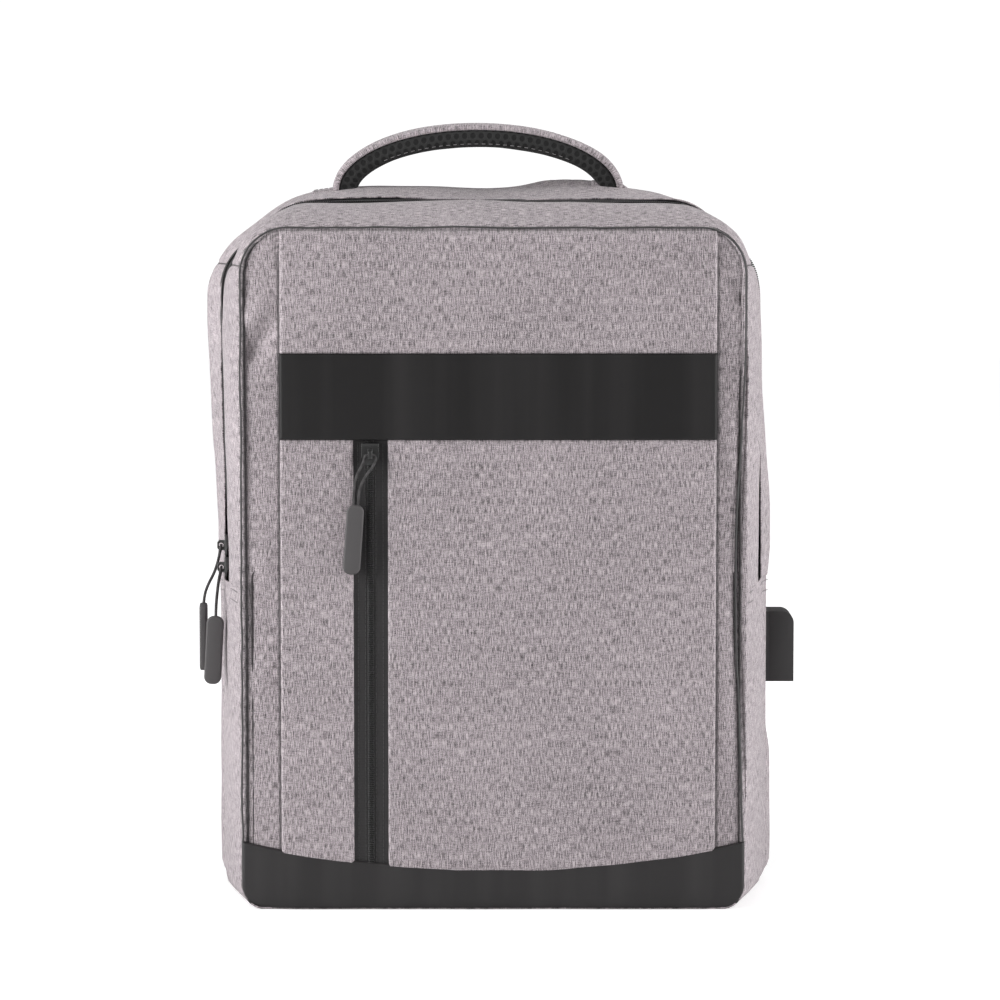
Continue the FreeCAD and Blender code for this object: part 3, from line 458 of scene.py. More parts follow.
# %% Cutting and laying cloth
def steps(length, coarse, fine=0.7 * MM, edge=7 * MM):
    """Stations from 0 to 1 along a length, closer together near both ends."""
    near = [fine * k * (1 + 0.22 * k) for k in range(60)]
    near = [d for d in near if d < min(edge, 0.3 * length)]
    start = near[-1]
    count = max(2, round((length - 2 * start) / coarse))
    middle = list(np.linspace(start, length - start, count + 1))
    return np.array(near[:-1] + middle + [length - d for d in near[:-1]][::-1]) / length


def lay_grid(name, places, flat, seam=None):
    """A grid primitive whose points are moved to places[row, column]; flat holds its UVs in metres.

    seam is painted shade, from 0 to 1: how dark each point is painted in a seam's groove or a pleat's shadow.
    """
    rows, columns = places.shape[:2]
    bpy.ops.object.select_all(action="DESELECT")
    bpy.ops.mesh.primitive_grid_add(x_subdivisions=columns - 1, y_subdivisions=rows - 1, size=1)
    cloth = bpy.context.object
    cloth.name = name + "_cloth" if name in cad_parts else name
    cloth.data.name = cloth.name
    cloth.data.vertices.foreach_set("co", places.astype(np.float32).ravel())
    corner = np.zeros(len(cloth.data.loops), np.int32)
    cloth.data.loops.foreach_get("vertex_index", corner)
    cloth.data.uv_layers[0].data.foreach_set("uv", flat.reshape(-1, 2)[corner].astype(np.float32).ravel())
    if seam is not None:
        marks = cloth.data.attributes.new("seam", "FLOAT", "POINT")
        marks.data.foreach_set("value", np.broadcast_to(seam, (rows, columns)).astype(np.float32).ravel())
    cloth.data.update()
    bpy.ops.object.shade_smooth()
    return cloth


def apply_modifier(obj, kind, **values):
    """Adds a modifier with these values and applies it."""
    bpy.ops.object.select_all(action="DESELECT")
    bpy.context.view_layer.objects.active = obj
    obj.select_set(True)
    made = obj.modifiers.new(kind.lower(), kind)
    for label, value in values.items():
        setattr(made, label, value)
    bpy.ops.object.modifier_apply(modifier=made.name)
    return obj


def thicken(obj, thick):
    """Gives a sheet its thickness, inwards, so that its face stays where it was laid."""
    return apply_modifier(obj, "SOLIDIFY", thickness=thick, offset=-1.0, use_even_offset=False)


def dress(obj, material, body, slot_name, *nodes):
    """Gives a piece its finish, the body it rides on and the plain solids it stands for."""
    obj.data.materials.clear()
    obj.data.materials.append(material)
    if body:
        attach(obj, body)
    if nodes:
        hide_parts(*nodes)
    return obj


print("rows across a 100 mm strip:", len(steps(100 * MM, 3.2 * MM)))

# %% [markdown]
# Small helpers for shapes: a smooth step, a round hump, and a soft random swell. The swell is
# gradient noise with a fixed seed, so the same creases come out on every run.

# %% Humps and swells
def rise(value, low, high):
    t = np.clip((value - low) / (high - low), 0, 1)
    return t * t * (3 - 2 * t)


def hump(value, middle, width):
    return np.exp(-((value - middle) / width) ** 2)


def swell(places, size, seed, squeeze=(1, 1, 1)):
    """Noise from about -1 to 1 at each place; size is the distance between swells."""
    scaled = places.reshape(-1, 3) * np.array(squeeze) / size + seed
    found = np.array([noise.noise(Vector(p)) for p in scaled])
    return found.reshape(places.shape[:-1])


def crease(x, z, start, end, width):
    """A ridge along a line on the front, tapering to nothing at both ends."""
    ax, az = start
    bx, bz = end
    length = math.hypot(bx - ax, bz - az)
    ux, uz = (bx - ax) / length, (bz - az) / length
    along = (x - ax) * ux + (z - az) * uz
    off = -(x - ax) * uz + (z - az) * ux
    taper = rise(along, 0, 0.35 * length) * (1 - rise(along, 0.65 * length, length))
    return taper * np.exp(-(off / width) ** 2)


print("a rise is %.1f at its middle and %.2f a quarter of the way" % (rise(0.5, 0, 1), rise(0.25, 0, 1)))

# %% [markdown]
# The form of the bag is a lofted shell. At each depth its outline is a tall rectangle with round
# corners. A packed bag is never crisp, so the outline is averaged over a short depth, it leans a
# little, the top corners sag, and the cloth bellies between its seams.

# %% The bag's form
rear_low, rear_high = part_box("rear_gusset_top")
zip_low, zip_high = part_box("main_zip_coil")
pocket_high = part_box("side_pocket_right")[1]
FRONT_Y, BACK_Y = front_low.y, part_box("back_panel")[1].y
ZIP_Y = (zip_low.y + zip_high.y) / 2
ZIP_END = pocket_high.z
CORNER_Z = rear_low.z
HALF = rear_high.x + 1.3 * MM
DEPTHS = np.array([FRONT_Y, ZIP_Y - 6 * MM, ZIP_Y + 10 * MM, 20 * MM, 48 * MM, BACK_Y])
HALVES = np.array([145, 156.2, 156.4, 162.6, 163.3, 154.5]) * MM
TOPS = np.array([394, 408.2, 408.6, 414, 416, 408]) * MM
CORNERS = np.array([26, 50, 52, 62, 66, 54]) * MM
FEET = np.array([0, 0, 0, 0, 0, 5]) * MM
FOOT_ROUND = 14 * MM


def section(y):
    """Half width, top, corner radius and foot of the outline at a depth."""
    near = np.linspace(-7, 7, 9) * MM
    wide = [np.mean([np.interp(y + d, DEPTHS, values) for d in near], axis=0)
            for values in (HALVES, TOPS, CORNERS, FEET)]
    return wide


def ring(q, y):
    """A point on the form and its outward direction, a distance q round from the middle of the top."""
    half, top, corner, foot = section(y)
    s = np.abs(q)
    flat = half - corner
    bend = corner * math.pi / 2
    side = (top - corner) - (foot + FOOT_ROUND)
    toe = FOOT_ROUND * math.pi / 2
    turn = np.clip((s - flat) / corner, 0, math.pi / 2)
    under = np.clip((s - flat - bend - side) / FOOT_ROUND, 0, math.pi / 2)
    down = np.clip(s - flat - bend, 0, side)
    back = np.clip(s - flat - bend - side - toe, 0, None)
    x = np.minimum(s, flat) + corner * np.sin(turn) - FOOT_ROUND * (1 - np.cos(under)) - back
    z = top - corner * (1 - np.cos(turn)) - down - FOOT_ROUND * np.sin(under)
    nx = np.sin(turn) * np.cos(under)
    nz = np.cos(turn) - np.sin(under)
    way = np.where(q < 0, -1.0, 1.0)
    return np.stack([way * x, y + 0 * x, z], -1), np.stack([way * nx, 0 * x, nz], -1)


def reach(y, z):
    """How far round from the middle of the top the outline comes down to a height."""
    half, top, corner, foot = section(y)
    turn = np.arccos(np.clip((z - (top - corner)) / corner, 0, 1))
    down = np.clip(top - corner - z, 0, top - corner - foot - FOOT_ROUND)
    under = np.arcsin(np.clip((foot + FOOT_ROUND - z) / FOOT_ROUND, 0, 1))
    return half - corner + corner * turn + down + FOOT_ROUND * under


def whole_way(y):
    """How far round from the middle of the top to the middle of the base."""
    half, top, corner, foot = section(y)
    side = (top - corner) - (foot + FOOT_ROUND)
    return half - corner + (corner + FOOT_ROUND) * math.pi / 2 + side + half - FOOT_ROUND


def lean(places):
    """The bag's upper half leans a little to one side, more at the rear, and its top corners sag."""
    x, y, z = places[..., 0], places[..., 1], places[..., 2]
    rear = 0.12 + 0.88 * rise(y, -22 * MM, 26 * MM)
    shift = (1.0 - 6.5 * rise(z, 0.17, 0.36)) * MM
    behind = rise(y, -15 * MM, 15 * MM)
    high = rise(z, 0.385, 0.412)
    sag = 5.0 * MM * hump(np.abs(x), 0.122, 0.034) * behind * high
    dent = 3.4 * MM * hump(x, 0.004, 0.03) * hump(y, 0.028, 0.022) * high
    corner = hump(np.abs(x), 0.148, 0.028) * hump(z, 0.398, 0.022) * rise(y, -45 * MM, -12 * MM)
    moved = places.copy()
    moved[..., 0] += rear * shift - np.sign(x) * 7.0 * MM * corner
    moved[..., 2] -= 3.0 * MM * corner
    fold = 3.6 * MM * crease(x, y, (0.012, 0.052), (0.098, 0.020), 8 * MM) * high
    moved[..., 2] += fold - sag - dent
    return moved


print("the form is %.0f mm wide and %.0f mm round at the rear" % (2 * HALF / MM, 2 * whole_way(0.04) / MM))

# %% [markdown]
# Beside a seam the cloth dives into a narrow groove, and the stitches gather it into small puckers
# that die out a few millimetres away. Between the seams it bellies out and carries long soft folds.

# %% Gusset patches
SEAM_DEEP = 3.4 * MM
SEAM_WIDE = 1.5 * MM
SEAM_Y = FRONT_Y + 3 * MM
REAR_SEAM_Y = BACK_Y - 1.5 * MM


def seam_drop(distance):
    return SEAM_DEEP * np.exp(-(distance / SEAM_WIDE) ** 2) + 0.8 * MM * np.exp(-distance / (5 * MM))


def seam_shade_mark(distance, width=0.9 * MM):
    """Painted shade: 1 in a seam's groove, 0 away from it."""
    return 0.92 * np.exp(-(distance / width) ** 4)


def round_port(places):
    """1 near the charging port on the right side, where the cloth lies flat under its flange."""
    low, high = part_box("port_base")
    off = np.hypot((places[..., 1] - (low.y + high.y) / 2) / (30 * MM),
                   (places[..., 2] - (low.z + high.z) / 2) / (42 * MM))
    return np.where(places[..., 0] > 0, 1 - rise(off, 0.75, 1.6), 0)


def gusset(name, y_range, q_ends, seed, belly=1.6 * MM, sewn=(True, True, True, True), node="", inset=0.0,
           thick=0.9 * MM, material=None, slot_name="heather_cloth"):
    """A strip of cloth between two depths. sewn says which edges are seams: front, rear, first, last."""
    y0, y1 = y_range
    depth = steps(y1 - y0, 3.2 * MM) * (y1 - y0) + y0
    middle = (y0 + y1) / 2
    span = abs(q_ends(middle)[1] - q_ends(middle)[0])
    along = steps(span, 3.6 * MM)
    y, t = np.meshgrid(depth, along)
    q0, q1 = q_ends(y)
    q = q0 + (q1 - q0) * t
    places, outward = ring(q, y)
    gaps = [y - y0, y1 - y, np.abs(q - q0), np.abs(q1 - q)]
    drop = sum(seam_drop(gap) * tight for gap, held, tight in zip(gaps, sewn, (1, 1, 0.2, 0.2)) if held)
    # Painted shade in the grooves of the sewn edges, carried by the seam attribute.
    marks = np.clip(sum(seam_shade_mark(gap, wide * MM) for gap, held, wide in zip(gaps, sewn, (1.1, 0.9, 0.6, 0.6))
                        if held), 0, 0.95)
    inner = np.minimum.reduce([rise(gap, 0, 22 * MM) for gap, held in zip(gaps, sewn) if held])
    folds = (1.5 * swell(places, 75 * MM, seed, (1, 1.6, 1))
             + 0.7 * swell(places, 32 * MM, seed + 9, (1, 1.3, 1)))
    pucker = swell(np.stack([q, 0 * q, y * 0.15], -1), 7 * MM, seed + 4)
    nearest = np.minimum(gaps[0], gaps[1])
    gather = 0.45 * MM * pucker * np.exp(-nearest / (7 * MM)) * (1 - np.exp(-nearest / (1.2 * MM)))
    lift = belly * inner + folds * MM * (0.25 + 0.75 * inner) * inner + gather
    flat_here = round_port(places)
    lift = lift * (1 - flat_here) - drop - inset
    if not sewn[1]:
        lift -= lip_dip(places) * np.exp(-((y1 - y) / (9 * MM)) ** 2)
    underside = rise(-outward[..., 2], 0.2, 0.8)
    lift = lift * (1 - underside)
    places = lean(places + outward * lift[..., None])
    places[..., 0] -= np.clip(places[..., 0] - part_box("port_base")[0].x, 0, None) * flat_here
    places[..., 2] = np.maximum(places[..., 2], 0.2 * MM)
    flat = np.stack([y, q], -1)
    cloth = lay_grid(name, places, flat, marks)
    face_out(cloth, outward)
    thicken(cloth, thick)
    return dress(cloth, material or heather, "bag", slot_name, node or name)


def lip_dip(places):
    """How far the front edge of the main zip's opening sinks: the full bag pulls it open a little."""
    x, z = places[..., 0], places[..., 2]
    over_top = (1.7 + 1.9 * hump(x, 0.07, 0.035) + 0.5 * np.sin(x * 60)) * rise(z, 0.36, 0.395)
    down_sides = 3.4 * (1 - rise(z, 0.2, 0.33)) + 0.8
    return np.maximum(over_top, down_sides * (1 - rise(z, 0.36, 0.395))) * MM


def face_out(cloth, outward):
    """Turns the faces over if they look into the bag."""
    mesh = cloth.data
    normal = np.zeros(len(mesh.vertices) * 3, np.float32)
    mesh.vertices.foreach_get("normal", normal)
    if (normal.reshape(-1, 3) * outward.reshape(-1, 3)).sum() < 0:
        mesh.flip_normals()


ZIP_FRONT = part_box("main_zip_tape_front")[0].y
ZIP_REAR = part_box("main_zip_tape_rear")[1].y
lip = 1.2 * MM
for side, way in (("left", -1), ("right", 1)):
    gusset("front_gusset_" + side, (SEAM_Y, ZIP_FRONT + lip),
           lambda y: (way * reach(y, CORNER_Z), way * reach(y, ZIP_END - 1 * MM)), 11 + way,
           sewn=(True, False, True, False))
    gusset("rear_gusset_" + side, (ZIP_REAR - lip, REAR_SEAM_Y),
           lambda y: (way * reach(y, CORNER_Z), way * reach(y, ZIP_END)), 23 + way,
           sewn=(False, True, True, False))
gusset("front_gusset_top", (SEAM_Y, ZIP_FRONT + lip), lambda y: (-reach(y, CORNER_Z), reach(y, CORNER_Z)), 31,
       sewn=(True, False, True, True))
gusset("rear_gusset_top", (ZIP_REAR - lip, REAR_SEAM_Y), lambda y: (-reach(y, CORNER_Z), reach(y, CORNER_Z)),
       37, sewn=(False, True, True, True))
depths = [(ZIP_FRONT - SEAM_Y) / MM, (REAR_SEAM_Y - ZIP_REAR) / MM]
print("gusset strips: front %.0f mm deep, rear %.0f mm" % tuple(depths))

# %% [markdown]
# Below the zip's ends the gusset carries two layers: a plain side panel, and over it a flat pocket
# with a hemmed mouth. The rear gusset runs on down to the base behind them.

# %% Side panels and pockets
POCKET_BACK = pocket_high.y
for side, way in (("left", -1), ("right", 1)):
    gusset("side_panel_" + side, (SEAM_Y, POCKET_BACK + 8 * MM),
           lambda y: (way * reach(y, ZIP_END + 9 * MM), way * reach(y, 15 * MM)), 41 + way, belly=0.2 * MM,
           sewn=(True, True, True, True), inset=3.2 * MM)
    gusset("side_pocket_" + side, (SEAM_Y, POCKET_BACK),
           lambda y: (way * reach(y, ZIP_END), way * reach(y, 2.4 * MM)), 53 + way, belly=1.8 * MM,
           sewn=(True, True, False, False))
    gusset("rear_side_" + side, (POCKET_BACK, REAR_SEAM_Y),
           lambda y: (way * reach(y, ZIP_END), way * reach(y, 2.4 * MM)), 61 + way,
           sewn=(True, True, False, False), node="rear_gusset_" + side)
print("pocket depth, in mm:", round((POCKET_BACK - SEAM_Y) / MM))

# %% [markdown]
# The base is one strip under the whole bag, from the foot of one side to the foot of the other. It
# lies flat, as the stiff board inside presses it to the ground.

# %% Base
def base_cloth():
    """The strip under the bag, sewn to the pockets at both sides."""
    depth = steps(REAR_SEAM_Y - SEAM_Y, 4 * MM) * (REAR_SEAM_Y - SEAM_Y) + SEAM_Y
    across = np.linspace(-1, 1, 120)
    y, t = np.meshgrid(depth, across)
    edge = reach(y, 3 * MM)
    whole = whole_way(y)
    q = whole + t * (whole - edge)
    folded = np.where(q > whole, q - 2 * whole, q)
    places, outward = ring(folded, y)
    places[..., 2] = np.maximum(places[..., 2], 0.2 * MM)
    cloth = lay_grid("base_panel", lean(places), np.stack([y, q], -1))
    face_out(cloth, outward)
    thicken(cloth, 0.9 * MM)
    return dress(cloth, heather, "bag", "heather_cloth", "base_panel")


print("base:", [round(d / MM) for d in base_cloth().dimensions])

# %% [markdown]
# ## The front
# All the layers of the front lie on one surface. It is nearly flat at the zip, where the slider has
# to run straight, rolls back towards the side seams, and bellies a little to the right of the zip.

# %% The front's surface
pleat_low, pleat_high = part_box("accent_band")
tape_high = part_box("front_zip_tape_left")[1]
right_low, right_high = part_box("right_overlay")
FRONT_MIDDLE = (pleat_low.x + pleat_high.x) / 2
CREASES = [((-0.121, 0.203), (-0.084, 0.172), 0.006, 1.2), ((-0.120, 0.150), (-0.088, 0.128), 0.007, 1.1),
           ((-0.119, 0.112), (-0.100, 0.082), 0.006, 0.9), ((-0.144, 0.335), (-0.126, 0.356), 0.006, 2.4),
           ((-0.143, 0.314), (-0.124, 0.344), 0.0055, -3.2), ((0.129, 0.20), (0.133, 0.06), 0.006, 1.3),
           ((0.131, 0.30), (0.140, 0.24), 0.005, 1.1), ((-0.137, 0.215), (-0.124, 0.185), 0.006, 1.2),
           ((-0.139, 0.12), (-0.124, 0.155), 0.006, 0.9), ((0.02, 0.385), (0.075, 0.352), 0.012, 0.8),
           ((0.128, 0.372), (0.142, 0.345), 0.005, -1.4)]


def front_face(x, z):
    """How far forward the front stands at a place, before any layer is added. Forward is -Y."""
    side = np.clip(np.abs(x - FRONT_MIDDLE) / 0.148, 0, 1.02)
    back = 1.4 * MM * side ** 6 + 3.0 * MM * np.clip((side - 0.83) / 0.17, 0, 1) ** 1.3
    back = back + 2.2 * MM * np.clip((z - (front_high.z - 20 * MM)) / (20 * MM), 0, 1) ** 2
    back = back + 3.2 * MM * np.clip((24 * MM - z) / (24 * MM), 0, 1) ** 2.2
    belly = 2.2 * MM * rise(x, -0.05, 0.01) * (1 - rise(x, 0.05, 0.127)) * rise(z, 0.03, 0.12) * (
        1 - rise(z, 0.18, 0.268))
    upper = 1.3 * MM * (1 - rise(np.abs(x - FRONT_MIDDLE), 0.03, 0.12)) * rise(z, 0.325, 0.35) * (
        1 - rise(z, 0.36, 0.39))
    near_zip = rise(np.abs(x - (tape_high.x + 0.3 * MM)), 8 * MM, 40 * MM)
    places = np.stack([x, 0 * x, z], -1)
    soft = (0.9 * swell(places, 85 * MM, 3.0, (1.2, 1, 0.8))
            + 0.35 * swell(places, 33 * MM, 8.0, (1.3, 1, 0.8)))
    lines = sum(tall * MM * crease(x, z, start, end, width) for start, end, width, tall in CREASES)
    return FRONT_Y + back - belly - upper - near_zip * soft * MM - lines


def front_outline(z):
    """Half the front's width at a height, inside its round corners."""
    half, top, corner = section(SEAM_Y)[:3]
    up = np.clip(z - (top - corner), 0, corner)
    low = np.clip(FOOT_ROUND - z, 0, FOOT_ROUND)
    return (half - corner + np.sqrt(np.maximum(corner ** 2 - up ** 2, 0))
            - FOOT_ROUND + np.sqrt(np.maximum(FOOT_ROUND ** 2 - low ** 2, 0)))


def front_cloth(name, sides, heights, stand, roll=1.6 * MM, thick=0.9 * MM, step=3.2 * MM, curved_low=None,
                sewn_top=False):
    """A layer of the front between two sides and two heights; roll is how round its folded edges are."""
    low_x, high_x = sides
    low_z, high_z = heights
    columns = steps(0.25, step, edge=6 * MM)
    rows = steps(high_z - low_z, step, edge=6 * MM) * (high_z - low_z) + low_z
    t, z = np.meshgrid(columns, rows)
    if curved_low is not None:
        x_guess = low_x + (high_x - low_x) * t
        share = (z - low_z) / (high_z - low_z)
        z = z + (curved_low(x_guess) - low_z) * (1 - share)
    limit = front_outline(z) - 0.4 * MM
    x = np.maximum(low_x, -limit) + (np.minimum(high_x, limit) - np.maximum(low_x, -limit)) * t
    bottom = curved_low(x) if curved_low is not None else low_z
    gap = np.minimum.reduce([x - np.maximum(low_x, -limit), np.minimum(high_x, limit) - x,
                             high_z - z, z - bottom])
    curl = np.clip(gap / roll, 0, 1)
    height = stand * np.sqrt(np.clip(1 - (1 - curl) ** 2, 0, 1))
    top_gap = np.minimum(high_z - z, front_outline(z) - np.abs(x)) if sewn_top else 1 + 0 * z
    height = height * (0.25 + 0.75 * rise(top_gap, 0, 5 * MM))
    places = np.stack([x, front_face(x, z) - height + 0.8 * seam_drop(top_gap), z], -1)
    # Painted shade in the groove of a sewn top edge, carried by the seam attribute.
    cloth = lay_grid(name, places, np.stack([x, z], -1), seam_shade_mark(top_gap, 1.5 * MM))
    face_out(cloth, np.zeros_like(places) + np.array([0, -1, 0]))
    thicken(cloth, thick)
    return cloth


print("the front's middle stands at y = %.1f mm" % (float(front_face(FRONT_MIDDLE, 0.2)) / MM))

# %% [markdown]
# The backing panel carries everything else. Its border rolls back into the seam with the gusset.

# %% Backing panel
def backing_panel():
    """The panel under the front's layers, with extra columns of points beside the two pleats."""
    top = section(SEAM_Y)[1]
    rows = steps(top, 3.4 * MM) * top
    columns = 2 * steps(0.29, 3.4 * MM) - 1
    extra = [(edge + d * MM) / 0.145 for edge in (pleat_low.x, pleat_high.x)
             for d in (-2, -1.4, -0.9, -0.3, 0.3)]
    extra += [1 - 0.5 * k * MM / 0.145 for k in range(18)]
    t, z = np.meshgrid(np.unique(np.concatenate([columns, extra])), rows)
    limit = front_outline(z)
    x = limit * t
    roll = 5.2 * MM * hump(z, 0.19, 0.10) * (x > 0) + 0.6 * MM
    gap = np.minimum(np.abs(limit - np.abs(x) - roll), np.minimum(top - z, z + 4 * MM))
    pucker = swell(np.stack([x * 0.1 + z, 0 * x, 0 * z], -1), 8 * MM, 71.0)
    gather = 0.5 * MM * pucker * np.exp(-gap / (6 * MM)) * rise(gap, 0, 2 * MM)
    y = front_face(x, z) + seam_drop(gap) * 1.25 - gather
    places = np.stack([x, np.minimum(y, SEAM_Y + 3 * MM), z], -1)
    # Painted shade in the seam's groove, and painted shadow beside the pleats, where the overlays' turned
    # edges shade the backing.
    beside = np.minimum(np.abs(x - pleat_low.x + 0.6 * MM), np.abs(x - pleat_high.x - 0.6 * MM))
    marks = np.maximum(seam_shade_mark(gap, 0.6 * MM), 0.75 * seam_shade_mark(beside, 1.0 * MM))
    cloth = lay_grid("front_panel", places, np.stack([x, z], -1), marks)
    face_out(cloth, np.zeros_like(places) + np.array([0, -1, 0]))
    thicken(cloth, 0.9 * MM)
    return dress(cloth, heather, "bag", "heather_cloth", "front_panel")


print("backing panel:", [round(d / MM) for d in backing_panel().dimensions])

# %% [markdown]
# The seam round the front is sewn through four layers and then turned, so its groove is too tight
# for light to reach. A thin dark tube lies in the groove as painted shade and draws the line.

# %% Painted shade tube in the front seam
def round_tube(name, path, radius, material):
    """A thin tube along a line of points, its ends closed."""
    curve = bpy.data.curves.new(name, "CURVE")
    curve.dimensions = "3D"
    line = curve.splines.new("POLY")
    line.points.add(len(path) - 1)
    for point, place in zip(line.points, path):
        point.co = (*place, 1)
    curve.bevel_depth = radius
    curve.bevel_resolution = 2
    curve.use_fill_caps = True
    made = bpy.data.objects.new(name, curve)
    bpy.context.scene.collection.objects.link(made)
    bpy.ops.object.select_all(action="DESELECT")
    bpy.context.view_layer.objects.active = made
    made.select_set(True)
    bpy.ops.object.convert(target="MESH")
    made = bpy.context.object
    bpy.ops.object.shade_smooth()
    made.data.materials.clear()
    made.data.materials.append(material)
    return made


far = float(reach(SEAM_Y, 22 * MM))
q = np.linspace(-far, far, 420)
line, out = ring(q, np.full_like(q, SEAM_Y))
right_roll = 5.2 * hump(line[:, 2], 0.19, 0.10) * (line[:, 0] > 0) * rise(np.abs(q), 0.2, 0.26)
wander = 0.7 * swell(np.stack([q, 0 * q, 0 * q], -1), 40 * MM, 15.0) + 0.3 * swell(
    np.stack([q, 0 * q, 0 * q], -1), 14 * MM, 19.0)
line = line - out * ((1.3 + right_roll + wander) * MM)[:, None]
line[:, 1] = np.minimum(SEAM_Y - 0.7 * MM, front_face(line[:, 0], line[:, 2]) + 1.3 * MM)
# Painted shade: a dark tube standing for the shade in the front seam's groove.
edge = round_tube("front_seam_shade_tube", line, 0.55 * MM, black_thread_and_seam_shade)
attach(edge, "bag")
print("bound edge:", len(edge.data.polygons), "faces")

# %% [markdown]
# The overlays are panels with turned edges: the cloth is folded under, so its edge is round and
# stands about three millimetres off the backing. The kick strip along the foot is coated cloth.

# %% Overlays, band and kick strip
kick_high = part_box("kick_panel")[1]
KICK_MIDDLE = right_low.z


def kick_edge(x):
    """The kick strip's upper edge: a shallow arc that dips in the middle."""
    rise_by = kick_high.z - KICK_MIDDLE
    radius = (kick_high.x ** 2 + rise_by ** 2) / (2 * rise_by)
    return KICK_MIDDLE + radius - np.sqrt(radius ** 2 - np.minimum(np.abs(x), kick_high.x) ** 2)


upper_low, upper_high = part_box("upper_overlay")
left_low, left_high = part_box("left_overlay")
SEAM_TOP = section(SEAM_Y)[1]
LAYER = 3.0 * MM
TUCK = 3 * MM


def tucked_under(x):
    """Where the layers end: a little below the kick strip's upper edge, under the strip."""
    return kick_edge(x) - TUCK


upper = front_cloth("upper_overlay", (upper_low.x, upper_high.x), (upper_low.z - 1 * MM, SEAM_TOP - 1.5 * MM),
                    LAYER, sewn_top=True)
dress(upper, heather, "bag", "heather_cloth", "upper_overlay")
left = front_cloth("left_overlay", (left_low.x, left_high.x), (left_low.z, left_high.z + 2 * MM), LAYER,
                   curved_low=tucked_under)
dress(left, heather, "bag", "heather_cloth", "left_overlay")
right = front_cloth("right_overlay", (right_low.x, right_high.x), (right_low.z, right_high.z + 2 * MM), LAYER,
                    curved_low=tucked_under)
dress(right, heather, "bag", "heather_cloth", "right_overlay")
# The band takes the darker copy of the coating: painted shade.
band = front_cloth("accent_band", (pleat_low.x - 0.5 * MM, pleat_high.x + 0.5 * MM),
                   (pleat_low.z, pleat_high.z), 3.9 * MM, roll=1.3 * MM, thick=1.0 * MM)
dress(band, shaded_band_coating, "bag", "smooth_panel", "accent_band")
for cloth in (upper, left, right, band):
    print(cloth.name, [round(d / MM) for d in cloth.dimensions])


def kick_strip():
    """The strip along the foot. It rolls under the bag at its lower edge."""
    t, share = np.meshgrid(steps(0.29, 3.4 * MM), steps(0.04, 2.4 * MM, edge=5 * MM))
    top = kick_edge((2 * t - 1) * kick_high.x)
    z = 1 * MM + (top - 1 * MM) * share
    limit = front_outline(z) - 0.5 * MM
    x = limit * (2 * t - 1)
    gap = np.minimum(limit - np.abs(x), kick_edge(x) - z)
    curl = np.clip(gap / (1.3 * MM), 0, 1)
    stand = 3.0 * MM * np.sqrt(1 - (1 - curl) ** 2)
    under = 2.6 * MM * np.clip((9 * MM - z) / (9 * MM), 0, 1) ** 2
    ripple = 0.35 * MM * swell(np.stack([x, 0 * x, z * 0.6], -1), 26 * MM, 91.0)
    places = np.stack([x, front_face(x, z) - stand + under - ripple, z], -1)
    cloth = lay_grid("kick_panel", places, np.stack([x, z], -1))
    face_out(cloth, np.zeros_like(places) + np.array([0, -1, 0]))
    thicken(cloth, 1.0 * MM)
    return dress(cloth, coated, "bag", "smooth_panel", "kick_panel")


kick_strip()

# %% [markdown]
# ## Small repeated things
# Zip teeth and stitches are all alike, so one is modelled and the rest are copies of its mesh, set
# along a line. Each copy has only a few dozen faces.

# %% One tooth, one stitch, and rows of them
def select_where(obj, kind, test):
    """In edit mode, selects the faces, edges or vertices that pass a test, and nothing else."""
    bpy.ops.object.mode_set(mode="OBJECT")
    for group in (obj.data.polygons, obj.data.edges, obj.data.vertices):
        group.foreach_set("select", [False] * len(group))
    bpy.ops.object.mode_set(mode="EDIT")
    bpy.ops.mesh.select_mode(type=kind)
    bpy.ops.mesh.select_all(action="DESELECT")
    bpy.ops.object.mode_set(mode="OBJECT")
    for item in {"FACE": obj.data.polygons, "EDGE": obj.data.edges, "VERT": obj.data.vertices}[kind]:
        item.select = test(item)
    bpy.ops.object.mode_set(mode="EDIT")


def ends_of(obj, edge):
    """Where an edge's two ends are."""
    return [obj.data.vertices[i].co for i in edge.vertices]


def little_bar(name, radius, length):
    """A short six-sided bar along X with rounded ends."""
    bpy.ops.object.select_all(action="DESELECT")
    bpy.ops.mesh.primitive_cylinder_add(vertices=6, radius=radius, depth=length, rotation=(0, math.pi / 2, 0))
    bar = bpy.context.object
    bar.name = name
    bpy.ops.object.transform_apply()
    select_where(bar, "FACE", lambda face: abs(face.normal.x) > 0.9)
    bpy.ops.mesh.inset(thickness=0.35 * radius, depth=0.3 * radius)
    bpy.ops.object.mode_set(mode="OBJECT")
    return bar


def row_of(model, name, frames):
    """Copies of a small mesh, each with its own frame (place, along, out), joined as one piece."""
    co = np.array([v.co for v in model.data.vertices])
    faces = [list(p.vertices) for p in model.data.polygons]
    points, polygons = [], []
    for place, along, out in frames:
        across = np.cross(out, along)
        basis = np.stack([across, along, out])
        points.append(co @ basis + place)
    for step in range(len(frames)):
        polygons += [[i + step * len(co) for i in face] for face in faces]
    mesh = bpy.data.meshes.new(name)
    mesh.from_pydata(np.concatenate(points).tolist(), [], polygons)
    made = bpy.data.objects.new(name, mesh)
    bpy.context.scene.collection.objects.link(made)
    mesh.polygons.foreach_set("use_smooth", [True] * len(mesh.polygons))
    return made


